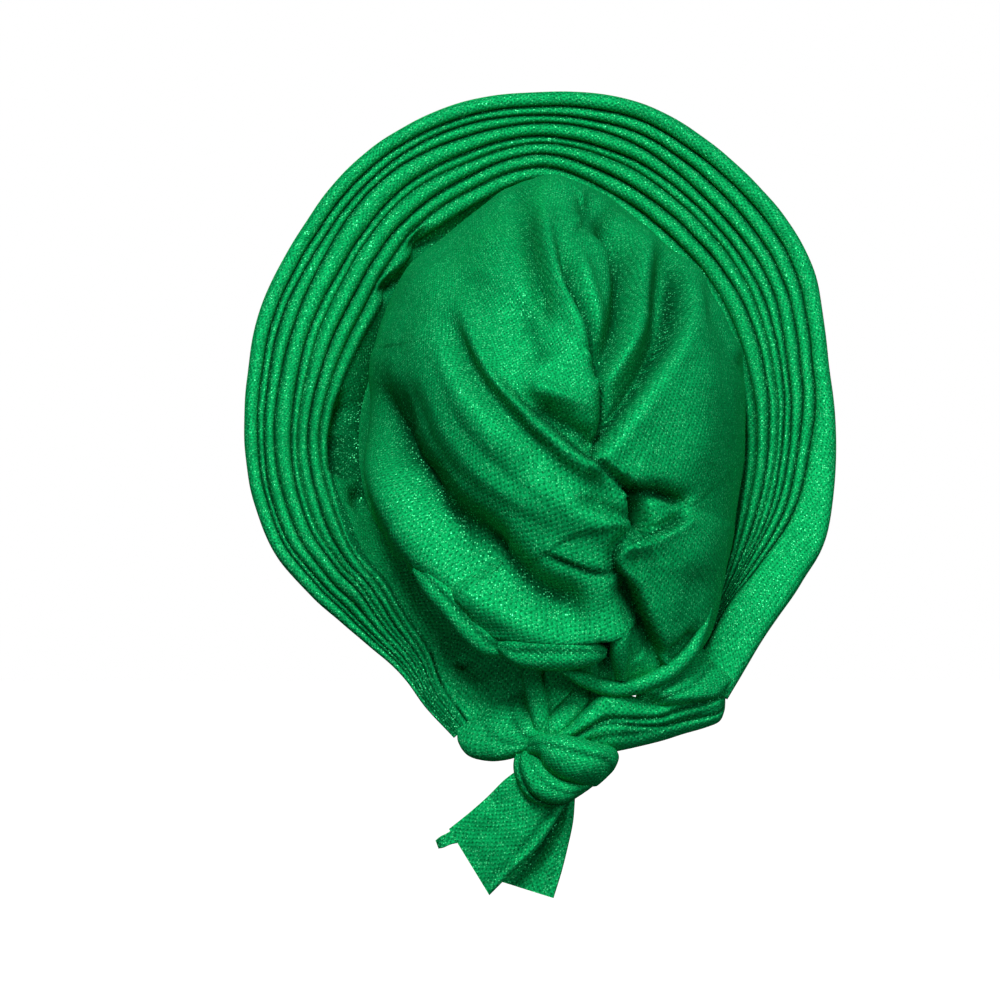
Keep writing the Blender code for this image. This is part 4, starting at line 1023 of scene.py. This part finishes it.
def build_stage():
    """A plain pale floor, well below the turban."""
    material = bpy.data.materials.new("floor_white")
    material.use_nodes = True
    shader = material.node_tree.nodes["Principled BSDF"]
    set_inputs(shader, {"Base Color": (0.93, 0.93, 0.93, 1.0), "Roughness": 0.9,
                        "Emission Color": (1.0, 1.0, 1.0, 1.0), "Emission Strength": 1.0})
    half = 30.0
    low = CAD_BOX[0][2] - 0.08
    mesh = bpy.data.meshes.new("floor")
    corners = [(half * x, half * y, low) for x, y in ((-1, -1), (1, -1), (1, 1), (-1, 1))]
    mesh.from_pydata(corners, [], [(0, 1, 2, 3)])
    mesh.materials.append(material)
    floor = add_object("floor", mesh)
    floor.visible_diffuse = False
    floor.visible_glossy = False


def build_light(name, place, size, power):
    """A square soft light, aimed at the turban."""
    data = bpy.data.lights.new(name, "AREA")
    data.shape = "SQUARE"
    data.size = size
    data.energy = power
    lamp = add_object(name, data)
    lamp.location = place
    lamp.rotation_euler = (Vector(LIGHTS_AIM) - Vector(place)).to_track_quat("-Z", "Y").to_euler()


def build_world():
    """A white surrounding that shows white and lights softly."""
    world = bpy.data.worlds.new("studio")
    bpy.context.scene.world = world
    world.use_nodes = True
    tree = world.node_tree
    shade = tree.nodes["Background"]
    set_inputs(shade, {"Color": (1.0, 1.0, 1.0, 1.0)})
    path = add_node(tree, "ShaderNodeLightPath")
    level = add_node(tree, "ShaderNodeMapRange")
    set_inputs(level, {"To Min": 0.08, "To Max": 1.0})
    tree.links.new(path.outputs["Is Camera Ray"], level.inputs["Value"])
    tree.links.new(level.outputs["Result"], shade.inputs["Strength"])


def build_camera():
    """A long lens behind the head, level with the knot of the twist, as in the photograph."""
    view_width = 0.490
    away = 14.0
    data = bpy.data.cameras.new("camera")
    data.sensor_width = 36.0
    data.lens = data.sensor_width * away / view_width
    camera = add_object("camera", data)
    camera.location = (-0.0196, -away, -0.154)
    camera.rotation_euler = (math.pi / 2, 0, 0)
    bpy.context.scene.camera = camera


def main():
    """Build the dressed turban, its stage, lights and camera."""
    cloth = knit_material()
    build_fan(cloth)
    build_crown(cloth)
    for row in PIECE_ROWS:
        build_strips(cloth, *row)
    build_stage()
    build_world()
    for row in LIGHT_ROWS:
        build_light(*row)
    build_camera()
    bpy.context.scene.view_settings.view_transform = "Standard"


main()
